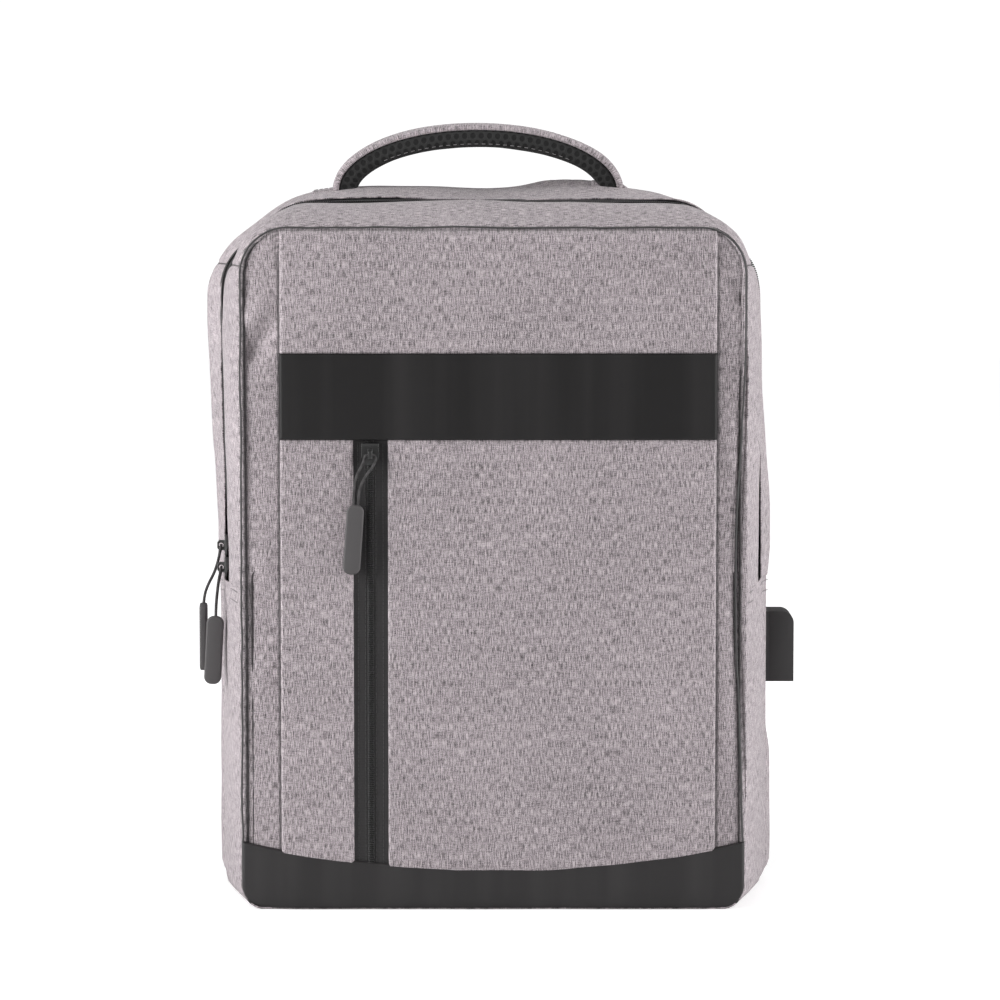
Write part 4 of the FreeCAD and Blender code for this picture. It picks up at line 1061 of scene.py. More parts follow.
def spaced(line, pitch):
    """Places at an even pitch along a line of points, with the way it runs at each."""
    line = np.asarray(line)
    lengths = np.concatenate([[0], np.cumsum(np.linalg.norm(np.diff(line, axis=0), axis=1))])
    marks = np.arange(pitch / 2, lengths[-1], pitch)
    at = np.stack([np.interp(marks, lengths, line[:, k]) for k in range(3)], -1)
    ahead = np.stack([np.interp(marks + 0.3 * pitch, lengths, line[:, k]) for k in range(3)], -1)
    behind = np.stack([np.interp(marks - 0.3 * pitch, lengths, line[:, k]) for k in range(3)], -1)
    way = ahead - behind
    return at, way / np.linalg.norm(way, axis=1)[:, None]


tooth = little_bar("tooth", 0.52 * MM, 3.3 * MM)
stitch = little_bar("stitch", 0.22 * MM, 2.0 * MM)
stitch.data.transform(Matrix.Rotation(math.pi / 2, 4, "Z"))


def stitches(name, lines, out, body, material, pitch=3.0 * MM):
    """Stitches along lines; out is the way they face."""
    frames = []
    for line in lines:
        for place, along in zip(*spaced(line, pitch)):
            up = np.array(out) - along * np.dot(out, along)
            frames.append((place, along, up / np.linalg.norm(up)))
    made = row_of(stitch, name, frames)
    made.data.materials.append(material)
    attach(made, body)
    return made


print("a tooth has %d faces, a stitch %d" % (len(tooth.data.polygons), len(stitch.data.polygons)))

# %% [markdown]
# ## Zips
# A coil zip is two woven tapes with a nylon spiral stitched along the edge of each. Closed, the
# turns of the two spirals lock into what looks like one row of small bars.

# %% Front zip
ZIP_X = (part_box("front_zip_coil")[0].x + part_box("front_zip_coil")[1].x) / 2
TAPE_STAND = 0.9 * MM
TOOTH_PITCH = 1.25 * MM
OUT_FRONT = (0.0, -1.0, 0.0)
for node, wider in (("front_zip_tape_left", (-2.5 * MM, 0)), ("front_zip_tape_right", (0, 2.5 * MM))):
    low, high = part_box(node)
    tape = front_cloth(node, (low.x + wider[0], high.x + wider[1]), (low.z, high.z + 2 * MM), TAPE_STAND,
                       roll=0.3 * MM, thick=0.5 * MM, step=2.4 * MM, curved_low=tucked_under)
    dress(tape, zip_tape, "bag", "zip_tape", node)
coil_low, coil_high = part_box("front_zip_coil")
up = np.linspace(coil_low.z - 2 * MM, coil_high.z, 60)
face_y = front_face(np.full_like(up, ZIP_X), up) - TAPE_STAND
spine = np.stack([np.full_like(up, ZIP_X), face_y - 0.5 * MM, up], -1)
at, way = spaced(spine, TOOTH_PITCH)
teeth = row_of(tooth, "front_zip_teeth", [(p, w, np.array(OUT_FRONT)) for p, w in zip(at, way)])
teeth.data.materials.append(coil)
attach(teeth, "bag")
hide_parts("front_zip_coil")
rows = [spine + np.array([dx * MM, 0.55 * MM, 0]) for dx in (-3.0, 3.0, -7.2, 7.2)]
stitches("front_zip_stitches", rows, OUT_FRONT, "bag", black_thread_and_seam_shade, 2.6 * MM)
print("front zip:", len(at), "teeth")

# %% [markdown]
# The main zip runs up one side, over the top and down the other. A full bag pulls its lips apart,
# so the tapes sink between them, the front one deeper than the rear one.

# %% Main zip
def zip_sunk(places):
    """The tapes slope from the sunken front lip up to the rear one."""
    forward = 1 - np.clip((places[..., 1] - ZIP_FRONT) / (ZIP_REAR - ZIP_FRONT), 0, 1)
    away = rise(places[..., 2], ZIP_END + 20 * MM, ZIP_END + 60 * MM)
    below = 1.5 * MM + 0.3 * lip_dip(places) * forward
    on_top = forward * (lip_dip(places) + 0.1 * MM) - (1 - forward) * 0.9 * MM
    return below * (1 - away) + on_top * away


def over_the_top(y, proud, step=3 * MM):
    """A line round the bag at a depth, between the two ends of the main zip."""
    far = float(reach(y, ZIP_END))
    q = np.linspace(-far, far, int(2 * far / step))
    places, outward = ring(q, np.full_like(q, y))
    return lean(places - outward * (zip_sunk(places) - proud)[:, None]), outward


def zip_band(node, y0, y1):
    """One of the main zip's tapes, between two depths."""
    far = float(reach(ZIP_Y, ZIP_END - 3 * MM))
    q, y = np.meshgrid(np.linspace(-far, far, 260), np.linspace(y0, y1, 6), indexing="ij")
    places, outward = ring(q, y)
    places = lean(places - outward * zip_sunk(places)[..., None])
    cloth = lay_grid(node, places, np.stack([y, q], -1))
    face_out(cloth, outward)
    thicken(cloth, 0.5 * MM)
    dress(cloth, zip_tape, "bag", "zip_tape", node)


zip_band("main_zip_tape_front", ZIP_FRONT - 1.5 * MM, ZIP_Y - 0.2 * MM)
zip_band("main_zip_tape_rear", ZIP_Y + 0.2 * MM, ZIP_REAR + 1.5 * MM)
line, outward = over_the_top(ZIP_Y, 0.5 * MM)
at, way = spaced(line, TOOTH_PITCH)
outs = np.stack([np.interp(np.linspace(0, 1, len(at)), np.linspace(0, 1, len(outward)), outward[:, k])
                 for k in range(3)], -1)
teeth = row_of(tooth, "main_zip_teeth", list(zip(at, way, outs)))
teeth.data.materials.append(coil)
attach(teeth, "bag")
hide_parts("main_zip_coil")
print("main zip: %d teeth" % len(at))

# %% [markdown]
# The sliders are small castings and the buckles are mouldings, right in shape as they come from the
# frame. A copy of each gets softened edges, as a mould leaves them, and stands in its place. What is
# inside the bag only needs its own finish.

# %% Sliders, buckles and the parts inside
def soften(node, material, body, slot_name, width):
    """A merged copy of a plain solid with its edges rounded, to stand in its place."""
    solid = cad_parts[node]
    piece = bpy.data.objects.new(node + "_rounded", solid.data.copy())
    bpy.context.collection.objects.link(piece)
    piece.data.transform(solid.matrix_world)
    apply_modifier(piece, "WELD", merge_threshold=0.01 * MM)
    apply_modifier(piece, "BEVEL", width=width, segments=2, limit_method="ANGLE",
                   angle_limit=math.radians(35))
    bpy.ops.object.shade_smooth_by_angle(angle=math.radians(40))
    return dress(piece, material, body, slot_name, node)


for slider in ("front_slider", "lower_slider", "upper_slider"):
    soften(slider, enamel, slider, "slider_metal", 0.3 * MM)
for side in ("left", "right"):
    soften(side + "_ladder_lock", moulded, side + "_buckle", "buckle_plastic", 0.7 * MM)
for node, material in (("port_base", port_rubber), ("port_socket", plated), ("port_tongue", insert),
                       ("port_contacts", brass), ("base_board", board), ("laptop_divider", lining),
                       ("organiser_panel", lining), ("front_pocket_lining", lining)):
    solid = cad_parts[node]
    solid.data.materials.clear()
    solid.data.materials.append(material)
    print(node, "takes", material.name)

# %% [markdown]
# ## Zip pulls
# Each pull is a doubled cord through the slider's eye, moulded at its ends into a flat rubber tab.
# The cord is one smooth curve: up one strand, across through the eye, and down the other.

# %% Cords
CORD = 1.6 * MM
CROSSING = 2.7 * MM


def pull_cord(name, eye, across, strand_a, strand_b, length, body):
    """A doubled cord; the strands' points are in millimetres from the eye."""
    across = Vector(across)
    points = [eye + Vector(p) * MM for p in strand_a]
    points += [eye - across * CROSSING, eye + across * CROSSING]
    points += [eye + Vector(p) * MM for p in strand_b]
    curve = bpy.data.curves.new(name + "_line", "CURVE")
    curve.dimensions = "3D"
    spline = curve.splines.new("NURBS")
    spline.points.add(len(points) - 1)
    for point, place in zip(spline.points, points):
        point.co = (*place, 1)
    spline.order_u = 3
    spline.use_endpoint_u = True
    curve.bevel_depth = CORD / 2
    curve.bevel_resolution = 3
    curve.resolution_u = 8
    made = bpy.data.objects.new(name + "_line", curve)
    bpy.context.scene.collection.objects.link(made)
    made.data.materials.append(braid)
    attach(made, body)
    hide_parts(name)
    print(name, "is %.1f mm long" % length)

# %% [markdown]
# The rubber tab starts as a cube at the tab's size. A wide bevel rounds its ends, and a narrow one
# softens its rim. Its faces are plain, as moulded.

# %% Pull tabs
TAB_SIZE = (10 * MM, 40 * MM, 4.4 * MM)


def rim_edges(mesh):
    """The edges between a broad face and the tab's side."""
    facing = {}
    for face in mesh.polygons:
        for key in face.edge_keys:
            facing.setdefault(key, []).append(abs(face.normal.y))
    return {key for key, sides in facing.items() if len(sides) == 2 and abs(sides[0] - sides[1]) > 0.9}


def pull_tab(node, turn):
    """A flat rubber tab with round ends and a soft rim, turned as it hangs."""
    low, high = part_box(node)
    wide, long, thick = TAB_SIZE
    bpy.ops.object.select_all(action="DESELECT")
    bpy.ops.mesh.primitive_cube_add(size=1, location=(0, 0, -long / 2), scale=(wide, thick, long))
    tab = bpy.context.object
    tab.name = node + "_tab"
    bpy.ops.object.transform_apply()
    select_where(tab, "EDGE", lambda e: abs(ends_of(tab, e)[0].y - ends_of(tab, e)[1].y) > 0.5 * thick)
    bpy.ops.mesh.bevel(offset=4.3 * MM, segments=8)
    bpy.ops.object.mode_set(mode="OBJECT")
    rim = rim_edges(tab.data)
    select_where(tab, "EDGE", lambda e: tuple(sorted(e.vertices)) in rim)
    bpy.ops.mesh.bevel(offset=1.1 * MM, segments=3)
    bpy.ops.mesh.select_all(action="SELECT")
    bpy.ops.mesh.normals_make_consistent(inside=False)
    bpy.ops.object.mode_set(mode="OBJECT")
    middle = (low + high) / 2
    place = middle - turn @ Vector((0, 0, -long / 2))
    tab.data.transform(Matrix.Translation(place) @ turn.to_4x4())
    bpy.ops.object.shade_smooth_by_angle(angle=math.radians(50))
    return dress(tab, rubber, node, "pull_rubber", node)


def eye_of(node, axis):
    """A slider's eye, in its bridge, which stands out from the plate along an axis, 0 for X, 1 for Y."""
    low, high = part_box(node)
    eye = (low + high) / 2
    eye[axis] = low[axis] + 2.3 * MM
    return eye


front_tab = pull_tab("front_pull", Matrix.Rotation(math.radians(4), 3, "Y"))
lower_tab = pull_tab("lower_pull", Matrix.Rotation(math.radians(3), 3, "Y"))
upper_tab = pull_tab("upper_pull", Matrix.Rotation(math.radians(90), 3, "Z"))
pull_cord("front_pull_cord", eye_of("front_slider", 1), (1, 0, 0),
          [(-9.6, 1.2, -30.5), (-9.5, 1.2, -24), (-9.1, 1, -17.5), (-7.6, 0.7, -11.5), (-4.8, 0.3, -6.5),
           (-3.3, 0, -3)],
          [(3.2, 0, -3), (1.6, 0.3, -7.2), (-2.6, 0.7, -12.2), (-5.6, 1, -18), (-6.8, 1.2, -24.2),
           (-7.1, 1.2, -30.5)], 69.3, "front_pull")
pull_cord("lower_pull_cord", eye_of("lower_slider", 0), (0, 1, 0),
          [(-2.3, -17.8, -28.5), (-2.2, -17.2, -22.5), (-1.9, -15, -16.5), (-1.5, -11.2, -11),
           (-1.1, -6.8, -6.4), (-0.5, -3.4, -3)],
          [(-0.5, 3.2, -3), (-1.4, 0.6, -7.6), (-1.7, -5.4, -12), (-2, -10.6, -17.4),
           (-2.2, -14, -22.8), (-2.3, -15.3, -28.5)], 73.2, "lower_pull")
pull_cord("upper_pull_cord", eye_of("upper_slider", 0), (0, 1, 0),
          [(-11.2, 7.2, -36.5), (-10.6, 7.1, -30.2), (-8.2, 7, -23.6), (-4.8, 6.6, -17.4), (-2.6, 4.6, -11.2),
           (-1.3, 0, -6.6), (-0.6, -2.9, -3.4)],
          [(-0.6, 3.6, -3.2), (-1.6, 7, -6.8), (-2.9, 9.2, -12), (-5, 9.8, -18), (-8.3, 9.8, -24),
           (-10.7, 9.7, -30.2), (-11.2, 9.6, -36.5)], 86.0, "upper_pull")
print("a pull tab, in mm:", [round(side / MM, 1) for side in TAB_SIZE])

# %% [markdown]
# ## Grab handle
# The handle is a foam core under two cloths: the bag's own cloth on top, rolled round the sides, and
# a spacer mesh underneath for the fingers. Both ends are sewn down flat to the top of the bag.

# %% Handle cover and mesh
cover_low, cover_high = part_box("handle_cover")
tabs_low, tabs_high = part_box("handle_tabs")
HANDLE_X = (cover_low.x + cover_high.x) / 2
HANDLE_Y = (cover_low.y + cover_high.y) / 2
HANDLE_LOW = tabs_low.z - 0.5 * MM
ARCH_HALF = (cover_high.x - cover_low.x) / 2 - 1.5 * MM
ARCH_RISE = cover_high.z - HANDLE_LOW
ARCH_POWER = 2 / 2.05
PAD_THICK = 9.0 * MM


def arch_point(turn, off, across):
    """A point on the arch: from -1 to 1 between its feet, a distance in from the outside, and across.

    The arch stands up steeply from its feet and is flat on top, as foam bends when it is sewn down.
    """
    def outside(at):
        angle = np.clip(at, -1, 1) * math.pi / 2
        x = np.sign(angle) * ARCH_HALF * np.abs(np.sin(angle)) ** ARCH_POWER
        return x, ARCH_RISE * np.abs(np.cos(angle)) ** ARCH_POWER

    turn = np.clip(turn, -0.998, 0.998)
    x, z = outside(turn)
    ahead, behind = outside(turn + 0.002), outside(turn - 0.002)
    way_x, way_z = ahead[0] - behind[0], ahead[1] - behind[1]
    length = np.hypot(way_x, way_z)
    x, z = x + off * way_z / length, z - off * way_x / length
    return np.stack(np.broadcast_arrays(HANDLE_X + x, HANDLE_Y + across, HANDLE_LOW + z), -1)


def handle_sheet(node, face, thick, material, slot_name):
    """One of the handle's two cloths; face gives how far in and how far across each row of it lies."""
    turn, t = np.meshgrid(np.linspace(-1, 1, 170), np.linspace(-1, 1, 34), indexing="ij")
    above = arch_point(turn, 0, 0)[..., 2] - HANDLE_LOW
    narrow = 0.8 + 0.2 * rise(above, 0, 20 * MM)
    off, across = face(t)
    wander = 0.6 * MM * swell(arch_point(turn, off, across), 26 * MM, 5.0) * (1 - t ** 4)
    places = arch_point(turn, off + wander, across * narrow)
    round_way = np.cumsum(np.hypot(np.diff(off, axis=1, prepend=off[:, :1]),
                                   np.diff(across, axis=1, prepend=across[:, :1])), axis=1)
    core = arch_point(turn, 6 * MM, 0)
    along = np.cumsum(np.linalg.norm(np.diff(core, axis=0, prepend=core[:1]), axis=-1), axis=0)
    cloth = lay_grid(node, places, np.stack([along, round_way], -1))
    face_out(cloth, places - arch_point(turn, 5.5 * MM, 0 * t))
    thicken(cloth, thick)
    dress(cloth, material, None, slot_name, node)
    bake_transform(cloth)


HANDLE_WIDE = (cover_high.y - cover_low.y) / 2


def over_top(t):
    """The cover: flat on top, rolled in at both sides."""
    return 4.0 * MM * np.abs(t) ** 3.5, HANDLE_WIDE * np.sin(t * 1.45) / np.sin(1.45)


def under_hand(t):
    """The mesh: a full round for the fingers, tucked under the cover's edges."""
    deep = 3.4 * MM + (PAD_THICK + 2.0 * MM) * (1 - np.abs(t) ** 6)
    return deep, 0.95 * HANDLE_WIDE * np.sin(t * 1.5) / np.sin(1.5)


handle_sheet("handle_cover", over_top, 1.2 * MM, heather, "heather_cloth")
handle_sheet("handle_mesh_pad", under_hand, 1.2 * MM, handle_mesh, "air_mesh")
print("handle: %.0f mm between its feet, %.0f mm tall" % (2 * ARCH_HALF / MM, ARCH_RISE / MM))

# %% [markdown]
# Each foot of the handle is covered by a small patch of the same cloth, sewn down all round.

# %% Handle feet
def foot_patch(side, way):
    """One patch on the top of the bag, with its stitching."""
    inner, outer = 72 * MM, (tabs_high.x - tabs_low.x) / 2
    x = HANDLE_X + way * np.linspace(inner, outer, 22)
    y = np.linspace(tabs_low.y + 1 * MM, tabs_high.y - 1 * MM, 18)
    x, y = np.meshgrid(x, y)
    places, outward = ring(x, y)
    places = lean(places)
    gap = np.minimum.reduce([x - x.min(), x.max() - x, y - y.min(), y.max() - y])
    stand = 0.9 * MM + 0.9 * MM * rise(gap, 0, 1.5 * MM)
    cloth = lay_grid("handle_foot_" + side, places + outward * stand[..., None], np.stack([x, y], -1))
    face_out(cloth, outward)
    thicken(cloth, 0.9 * MM)
    dress(cloth, heather, "bag", "heather_cloth", "handle_tabs")
    inset = 2.4 * MM
    west, east, near, far = x.min() + inset, x.max() - inset, y.min() + inset, y.max() - inset
    corners = [(west, near), (east, near), (east, far), (west, far), (west, near)]
    lines = []
    for start, end in zip(corners, corners[1:]):
        qx, qy = np.linspace(start[0], end[0], 12), np.linspace(start[1], end[1], 12)
        line, up = ring(qx, qy)
        lines.append(lean(line) + up * 1.9 * MM)
    stitches("handle_stitch_" + side, lines, (0, 0, 1.0), "bag", thread)
    print(side, "foot:", [round(d / MM) for d in cloth.dimensions])


foot_patch("left", -1)
foot_patch("right", 1)
# Stitches in light thread along the handle's lower front edge; their light colour also paints the glints
# along that edge, a painted highlight.
edge_line = arch_point(np.linspace(-0.5, 0.5, 60), 12.4 * MM, -0.86 * HANDLE_WIDE)
stitches("handle_edge_stitch_glints", [edge_line], (0, -1.0, -0.6), "handle", thread, 4.2 * MM)

# %% [markdown]
# ## The back
# The back panel is the part that touches the wearer: spacer mesh over foam, with two tall pads
# beside a channel for the spine and a wide pad across the hips. The shell's rear seam runs round it.

# %% Back panel
def back_cloth():
    """The panel inside the rear seam, with the shell's own round corners."""
    foot = 4.4 * MM
    half, top, corner, low = section(REAR_SEAM_Y)
    rows = steps(top - foot, 4 * MM) * (top - foot) + foot
    t, z = np.meshgrid(steps(0.3, 4 * MM), rows)
    up = np.clip(z - (top - corner), 0, corner)
    down = np.clip(low + FOOT_ROUND - z, 0, FOOT_ROUND)
    limit = half - corner + np.sqrt(corner ** 2 - up ** 2) - FOOT_ROUND + np.sqrt(FOOT_ROUND ** 2 - down ** 2)
    x = limit * (2 * t - 1)
    gap = np.minimum(limit - np.abs(x), np.minimum(top - z, z - foot))
    bulge = 1.0 * MM * swell(np.stack([x, 0 * x, z], -1), 80 * MM, 17.0) * rise(gap, 0, 30 * MM)
    places = np.stack([x, BACK_Y - 0.2 * MM - seam_drop(gap) + np.minimum(bulge, 0.2 * MM), z], -1)
    cloth = lay_grid("back_panel", lean(places), np.stack([x, z], -1))
    face_out(cloth, np.zeros_like(places) + np.array([0, 1, 0]))
    thicken(cloth, 1.2 * MM)
    return dress(cloth, air_mesh, "bag", "air_mesh", "back_panel")


print("back panel:", [round(d / MM) for d in back_cloth().dimensions])

# %% [markdown]
# A pad starts a little smaller than it ends: a rounded block, remeshed evenly, then blown up as
# cloth under gentle pressure, as foam fills its cover. The sewn channels are pressed in afterwards.

# %% Back pads
def pad_block(node):
    """An even block a little smaller than the pad, with round corners."""
    low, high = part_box(node)
    size = high - low
    bpy.ops.object.select_all(action="DESELECT")
    bpy.ops.mesh.primitive_cube_add(size=1, location=(low + high) / 2,
                                    scale=(size.x - 5 * MM, size.y, size.z - 5 * MM))
    pad = bpy.context.object
    pad.name = node + "_cushion"
    bpy.ops.object.transform_apply(location=True)
    select_where(pad, "EDGE", lambda e: abs(ends_of(pad, e)[0].y - ends_of(pad, e)[1].y) > 0.5 * size.y)
    bpy.ops.mesh.bevel(offset=min(22 * MM, 0.3 * min(size.x, size.z)), segments=6)
    bpy.ops.object.mode_set(mode="OBJECT")
    pad.data.remesh_voxel_size = 4 * MM
    bpy.ops.object.voxel_remesh()
    return pad


def blow_up(pad, steps_long=20):
    """Fills a pad as cloth under gentle pressure, with no gravity."""
    cloth = pad.modifiers.new("fill", "CLOTH")
    cloth.settings.use_pressure = True
    cloth.settings.uniform_pressure_force = 4
    cloth.settings.effector_weights.gravity = 0
    cloth.point_cache.frame_start, cloth.point_cache.frame_end = 1, steps_long
    for step in range(1, steps_long + 1):
        bpy.context.scene.frame_set(step)
    bpy.ops.object.select_all(action="DESELECT")
    pad.select_set(True)
    bpy.context.view_layer.objects.active = pad
    bpy.ops.object.modifier_apply(modifier="fill")
    bpy.context.scene.frame_set(1)


def lay_flat(pad, low):
    """A UV map in metres, seen from behind."""
    co = np.array([v.co for v in pad.data.vertices])
    corner = np.zeros(len(pad.data.loops), np.int32)
    pad.data.loops.foreach_get("vertex_index", corner)
    flat = np.stack([co[:, 0] + 0.3 * (co[:, 1] - low.y), co[:, 2]], -1)
    for old in list(pad.data.uv_layers):
        pad.data.uv_layers.remove(old)
    layer = pad.data.uv_layers.new(name="flat")
    layer.data.foreach_set("uv", flat[corner].astype(np.float32).ravel())


SWELL_CAP = 6 * MM


def cushion(node, channels):
    """A pad blown up within a cap, crowned, with sewn channels across it at these heights."""
    low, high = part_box(node)
    size = high - low
    pad = pad_block(node)
    start = np.array([v.co for v in pad.data.vertices])
    blow_up(pad)
    moved = np.array([v.co for v in pad.data.vertices]) - start
    far = np.linalg.norm(moved, axis=1)
    moved *= np.minimum(1, SWELL_CAP / np.maximum(far, 1e-9))[:, None]
    places = start + moved
    middle = np.array((low + high) / 2)
    round_off = (places - middle) / np.array([size.x / 2, 1, size.z / 2])
    edge = np.clip((np.abs(round_off[:, 0]) ** 7 + np.abs(round_off[:, 2]) ** 7) ** (1 / 7), 0, 1.2)
    crown = 3.0 * MM * (1 - np.clip(edge, 0, 1) ** 4)
    outer = rise(places[:, 1], low.y + 1 * MM, high.y)
    places[:, 1] += crown * outer - 3.0 * MM * outer * rise(edge, 0.82, 1.02)
    for level in channels:
        off = places[:, 2] - level - 2 * MM * np.sin((places[:, 0] - middle[0]) / (30 * MM))
        places[:, 1] -= 4.2 * MM * outer * np.exp(-(off / (3.2 * MM)) ** 2) * (1 - rise(edge, 0.9, 1.05))
    places[:, 1] = np.clip(places[:, 1], low.y - 1.0 * MM, high.y + 8 * MM)
    pad.data.vertices.foreach_set("co", places.astype(np.float32).ravel())
    pad.data.update()
    apply_modifier(pad, "SUBSURF", levels=1, render_levels=1)
    lay_flat(pad, low)
    bpy.ops.object.shade_smooth()
    dress(pad, air_mesh, "bag", "air_mesh", node)
    print(node, "swelled by up to %.1f mm, %d faces" % (far.max() / MM, len(pad.data.polygons)))


for node in ("back_pad_left", "back_pad_right"):
    cushion(node, [0.172, 0.235, 0.298])
cushion("lumbar_pad", [0.067])

# %% [markdown]
# ## Shoulder straps
# A strap hangs in a long bow from the yoke at the top to a tab at the bottom corner. Its pad is
# waisted, cloth outside and mesh inside, with a woven binding sewn over the edge where they meet.

# %% The strap's bow
STRAP_TOP = Vector((50, 76.5, 392)) * MM
STRAP_SPLAY = math.radians(12)
STRAP_REACH = 376.0 * MM
STRAP_BOW = 30 * MM
BOW_ROUND = (STRAP_REACH ** 2 / 4 + STRAP_BOW ** 2) / (2 * STRAP_BOW)
PAD_LONG = 255 * MM
OUTLINE = np.array([[0, 20], [60, 32], [195, 32], [255, 17]]) * MM


def on_strap(way, drop, across, off):
    """A point of a strap: how far down it, how far across it, and how far out from its middle layer."""
    angle = np.arcsin((STRAP_REACH / 2 - drop) / BOW_ROUND)
    y = STRAP_TOP.y + STRAP_BOW - BOW_ROUND + (BOW_ROUND + off) * np.cos(angle)
    up = -STRAP_REACH / 2 + (BOW_ROUND + off) * np.sin(angle)
    x = way * STRAP_TOP.x + across * math.cos(STRAP_SPLAY) - way * up * math.sin(STRAP_SPLAY)
    z = STRAP_TOP.z + up * math.cos(STRAP_SPLAY) + way * across * math.sin(STRAP_SPLAY)
    return np.stack(np.broadcast_arrays(x, y, z), -1)


def strap_sheet(name, way, drop, across, off, inside, thick, flat=None):
    """Lays a cloth on the strap and gives it thickness; inside turns its face to the wearer."""
    places = on_strap(way, drop, across, off)
    cloth = lay_grid(name, places, np.stack(np.broadcast_arrays(across, drop), -1) if flat is None else flat)
    way_out = on_strap(way, drop, across, off + 5 * MM) - places
    face_out(cloth, -way_out if inside else way_out)
    thicken(cloth, thick)
    return cloth


def strap_half(drop):
    """Half the pad's width at a distance down it. Its lower end is rounded off."""
    smooth = [np.interp(drop + d, OUTLINE[:, 0], OUTLINE[:, 1]) for d in np.linspace(-12, 12, 9) * MM]
    return np.mean(smooth, axis=0) - 5 * MM * rise(drop, PAD_LONG - 7 * MM, PAD_LONG) ** 2


def bend_strap(obj):
    """Bakes the piece's placement into its mesh."""
    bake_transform(obj)


print("strap: a bow of radius %.0f mm, pad %.0f mm long" % (BOW_ROUND / MM, PAD_LONG / MM))

# %% [markdown]
# The two cloths are domed over the foam and meet at the edge. The binding is a folded tape that
# covers both raw edges, and a row of stitches beside it goes through the whole pad.

# %% Strap pads
def strap_pad(side, way):
    """The cover and the lining, thin at the edge and full in the middle."""
    shares = steps(0.06, 3.2 * MM, edge=6 * MM)
    t, drop = np.meshgrid(2 * shares - 1, np.linspace(0, PAD_LONG, 84))
    across = t * strap_half(drop)
    gap = np.minimum(strap_half(drop) - np.abs(across), np.minimum(drop, PAD_LONG - drop) + 1.5 * MM)
    dome = np.sqrt(np.clip(1 - (1 - np.clip(gap / (11 * MM), 0, 1)) ** 2, 0, 1))
    soft = 0.5 * MM * swell(on_strap(way, drop, across, 0 * drop), 30 * MM, 6.0 + way) * dome
    cover = strap_sheet(side + "_strap_cover", way, drop, across, 0.8 * MM + 5.0 * MM * dome + soft, False,
                        0.9 * MM)
    dress(cover, heather, None, "heather_cloth", side + "_strap_cover")
    inner = strap_sheet(side + "_strap_lining", way, drop, across, -0.8 * MM - 4.2 * MM * dome - soft, True,
                        0.9 * MM)
    dress(inner, air_mesh, None, "air_mesh", side + "_strap_lining")
    for piece in (cover, inner):
        bend_strap(piece)
    print(cover.name, [round(d / MM) for d in cover.dimensions])


BINDING_ROWS, BINDING_FOLDS = 90, 11


def strap_binding(side, way, edge):
    """Woven tape folded over one edge of the pad; edge is -1 or 1."""
    turn, along = np.meshgrid(np.linspace(-1.35, 1.35, BINDING_FOLDS) * math.pi / 2,
                              np.linspace(2 * MM, PAD_LONG - 2 * MM, BINDING_ROWS))
    reach_in = 4.5 * MM * np.clip(np.abs(turn) / (math.pi / 2) - 1, 0, 1) / 0.35
    folded = np.clip(turn, -math.pi / 2, math.pi / 2)
    wide = edge * (strap_half(along) + np.cos(folded) * 1.6 * MM - reach_in - 0.4 * MM)
    off = np.sin(folded) * 2.3 * MM + np.sign(turn) * reach_in * 0.42
    tape = strap_sheet("%s_strap_binding_%s" % (side, "in" if edge * way < 0 else "out"), way, along, wide,
                       off, False, 0.5 * MM, np.stack([turn * 2 * MM, along], -1))
    core = on_strap(way, along, edge * (strap_half(along) - 6 * MM), 0 * off)
    outward = on_strap(way, along, wide, off) - core
    row, fold = 40, BINDING_FOLDS // 2
    normal = np.array(tape.data.vertices[fold + BINDING_FOLDS * row].normal)
    if np.dot(normal, outward[row, fold]) < 0:
        tape.data.flip_normals()
    dress(tape, webbing, None, "webbing")
    bend_strap(tape)


def strap_sewing(side, way):
    """A row of stitches inside each binding."""
    down = np.linspace(4 * MM, PAD_LONG - 6 * MM, 80)
    lines = [on_strap(way, down, edge * (strap_half(down) - 3.4 * MM), 4.4 * MM + 0 * down)
             for edge in (-1, 1)]
    stitches(side + "_strap_stitches", lines, (0, 1.0, 0), side + "_strap", thread, 3.4 * MM)

# %% [markdown]
# The webbing runs up from the corner tab, behind the buckle's lower and middle bars, over the middle bar,
# and down again in front as a free tail. A loop holds the top bar.

# %% Webbing and buckles
def ribbon(name, way, route, half, thick):
    """Flat webbing through (drop, off) points along the strap, in millimetres, as one smooth band."""
    route = np.array(route) * MM
    lengths = np.concatenate([[0], np.cumsum(np.linalg.norm(np.diff(route, axis=0), axis=1))])
    marks = np.linspace(0, lengths[-1], max(26, int(lengths[-1] / (1.4 * MM))))
    path = np.stack([np.interp(marks, lengths, route[:, k]) for k in (0, 1)], -1)
    for _ in range(3):
        path[1:-1] = (path[:-2] + 2 * path[1:-1] + path[2:]) / 4
    across, drop = np.meshgrid(np.linspace(-half, half, 9), path[:, 0])
    off = np.repeat(path[:, 1:2], 9, axis=1)
    places = on_strap(way, drop, across, off)
    flat = np.stack([across, np.repeat(marks[:, None], 9, axis=1)], -1)
    cloth = lay_grid(name, places, flat)
    apply_modifier(cloth, "SOLIDIFY", thickness=thick, offset=0.0, use_even_offset=False)
    return dress(cloth, webbing, None, "webbing")


WEB_HALF = 12.3 * MM


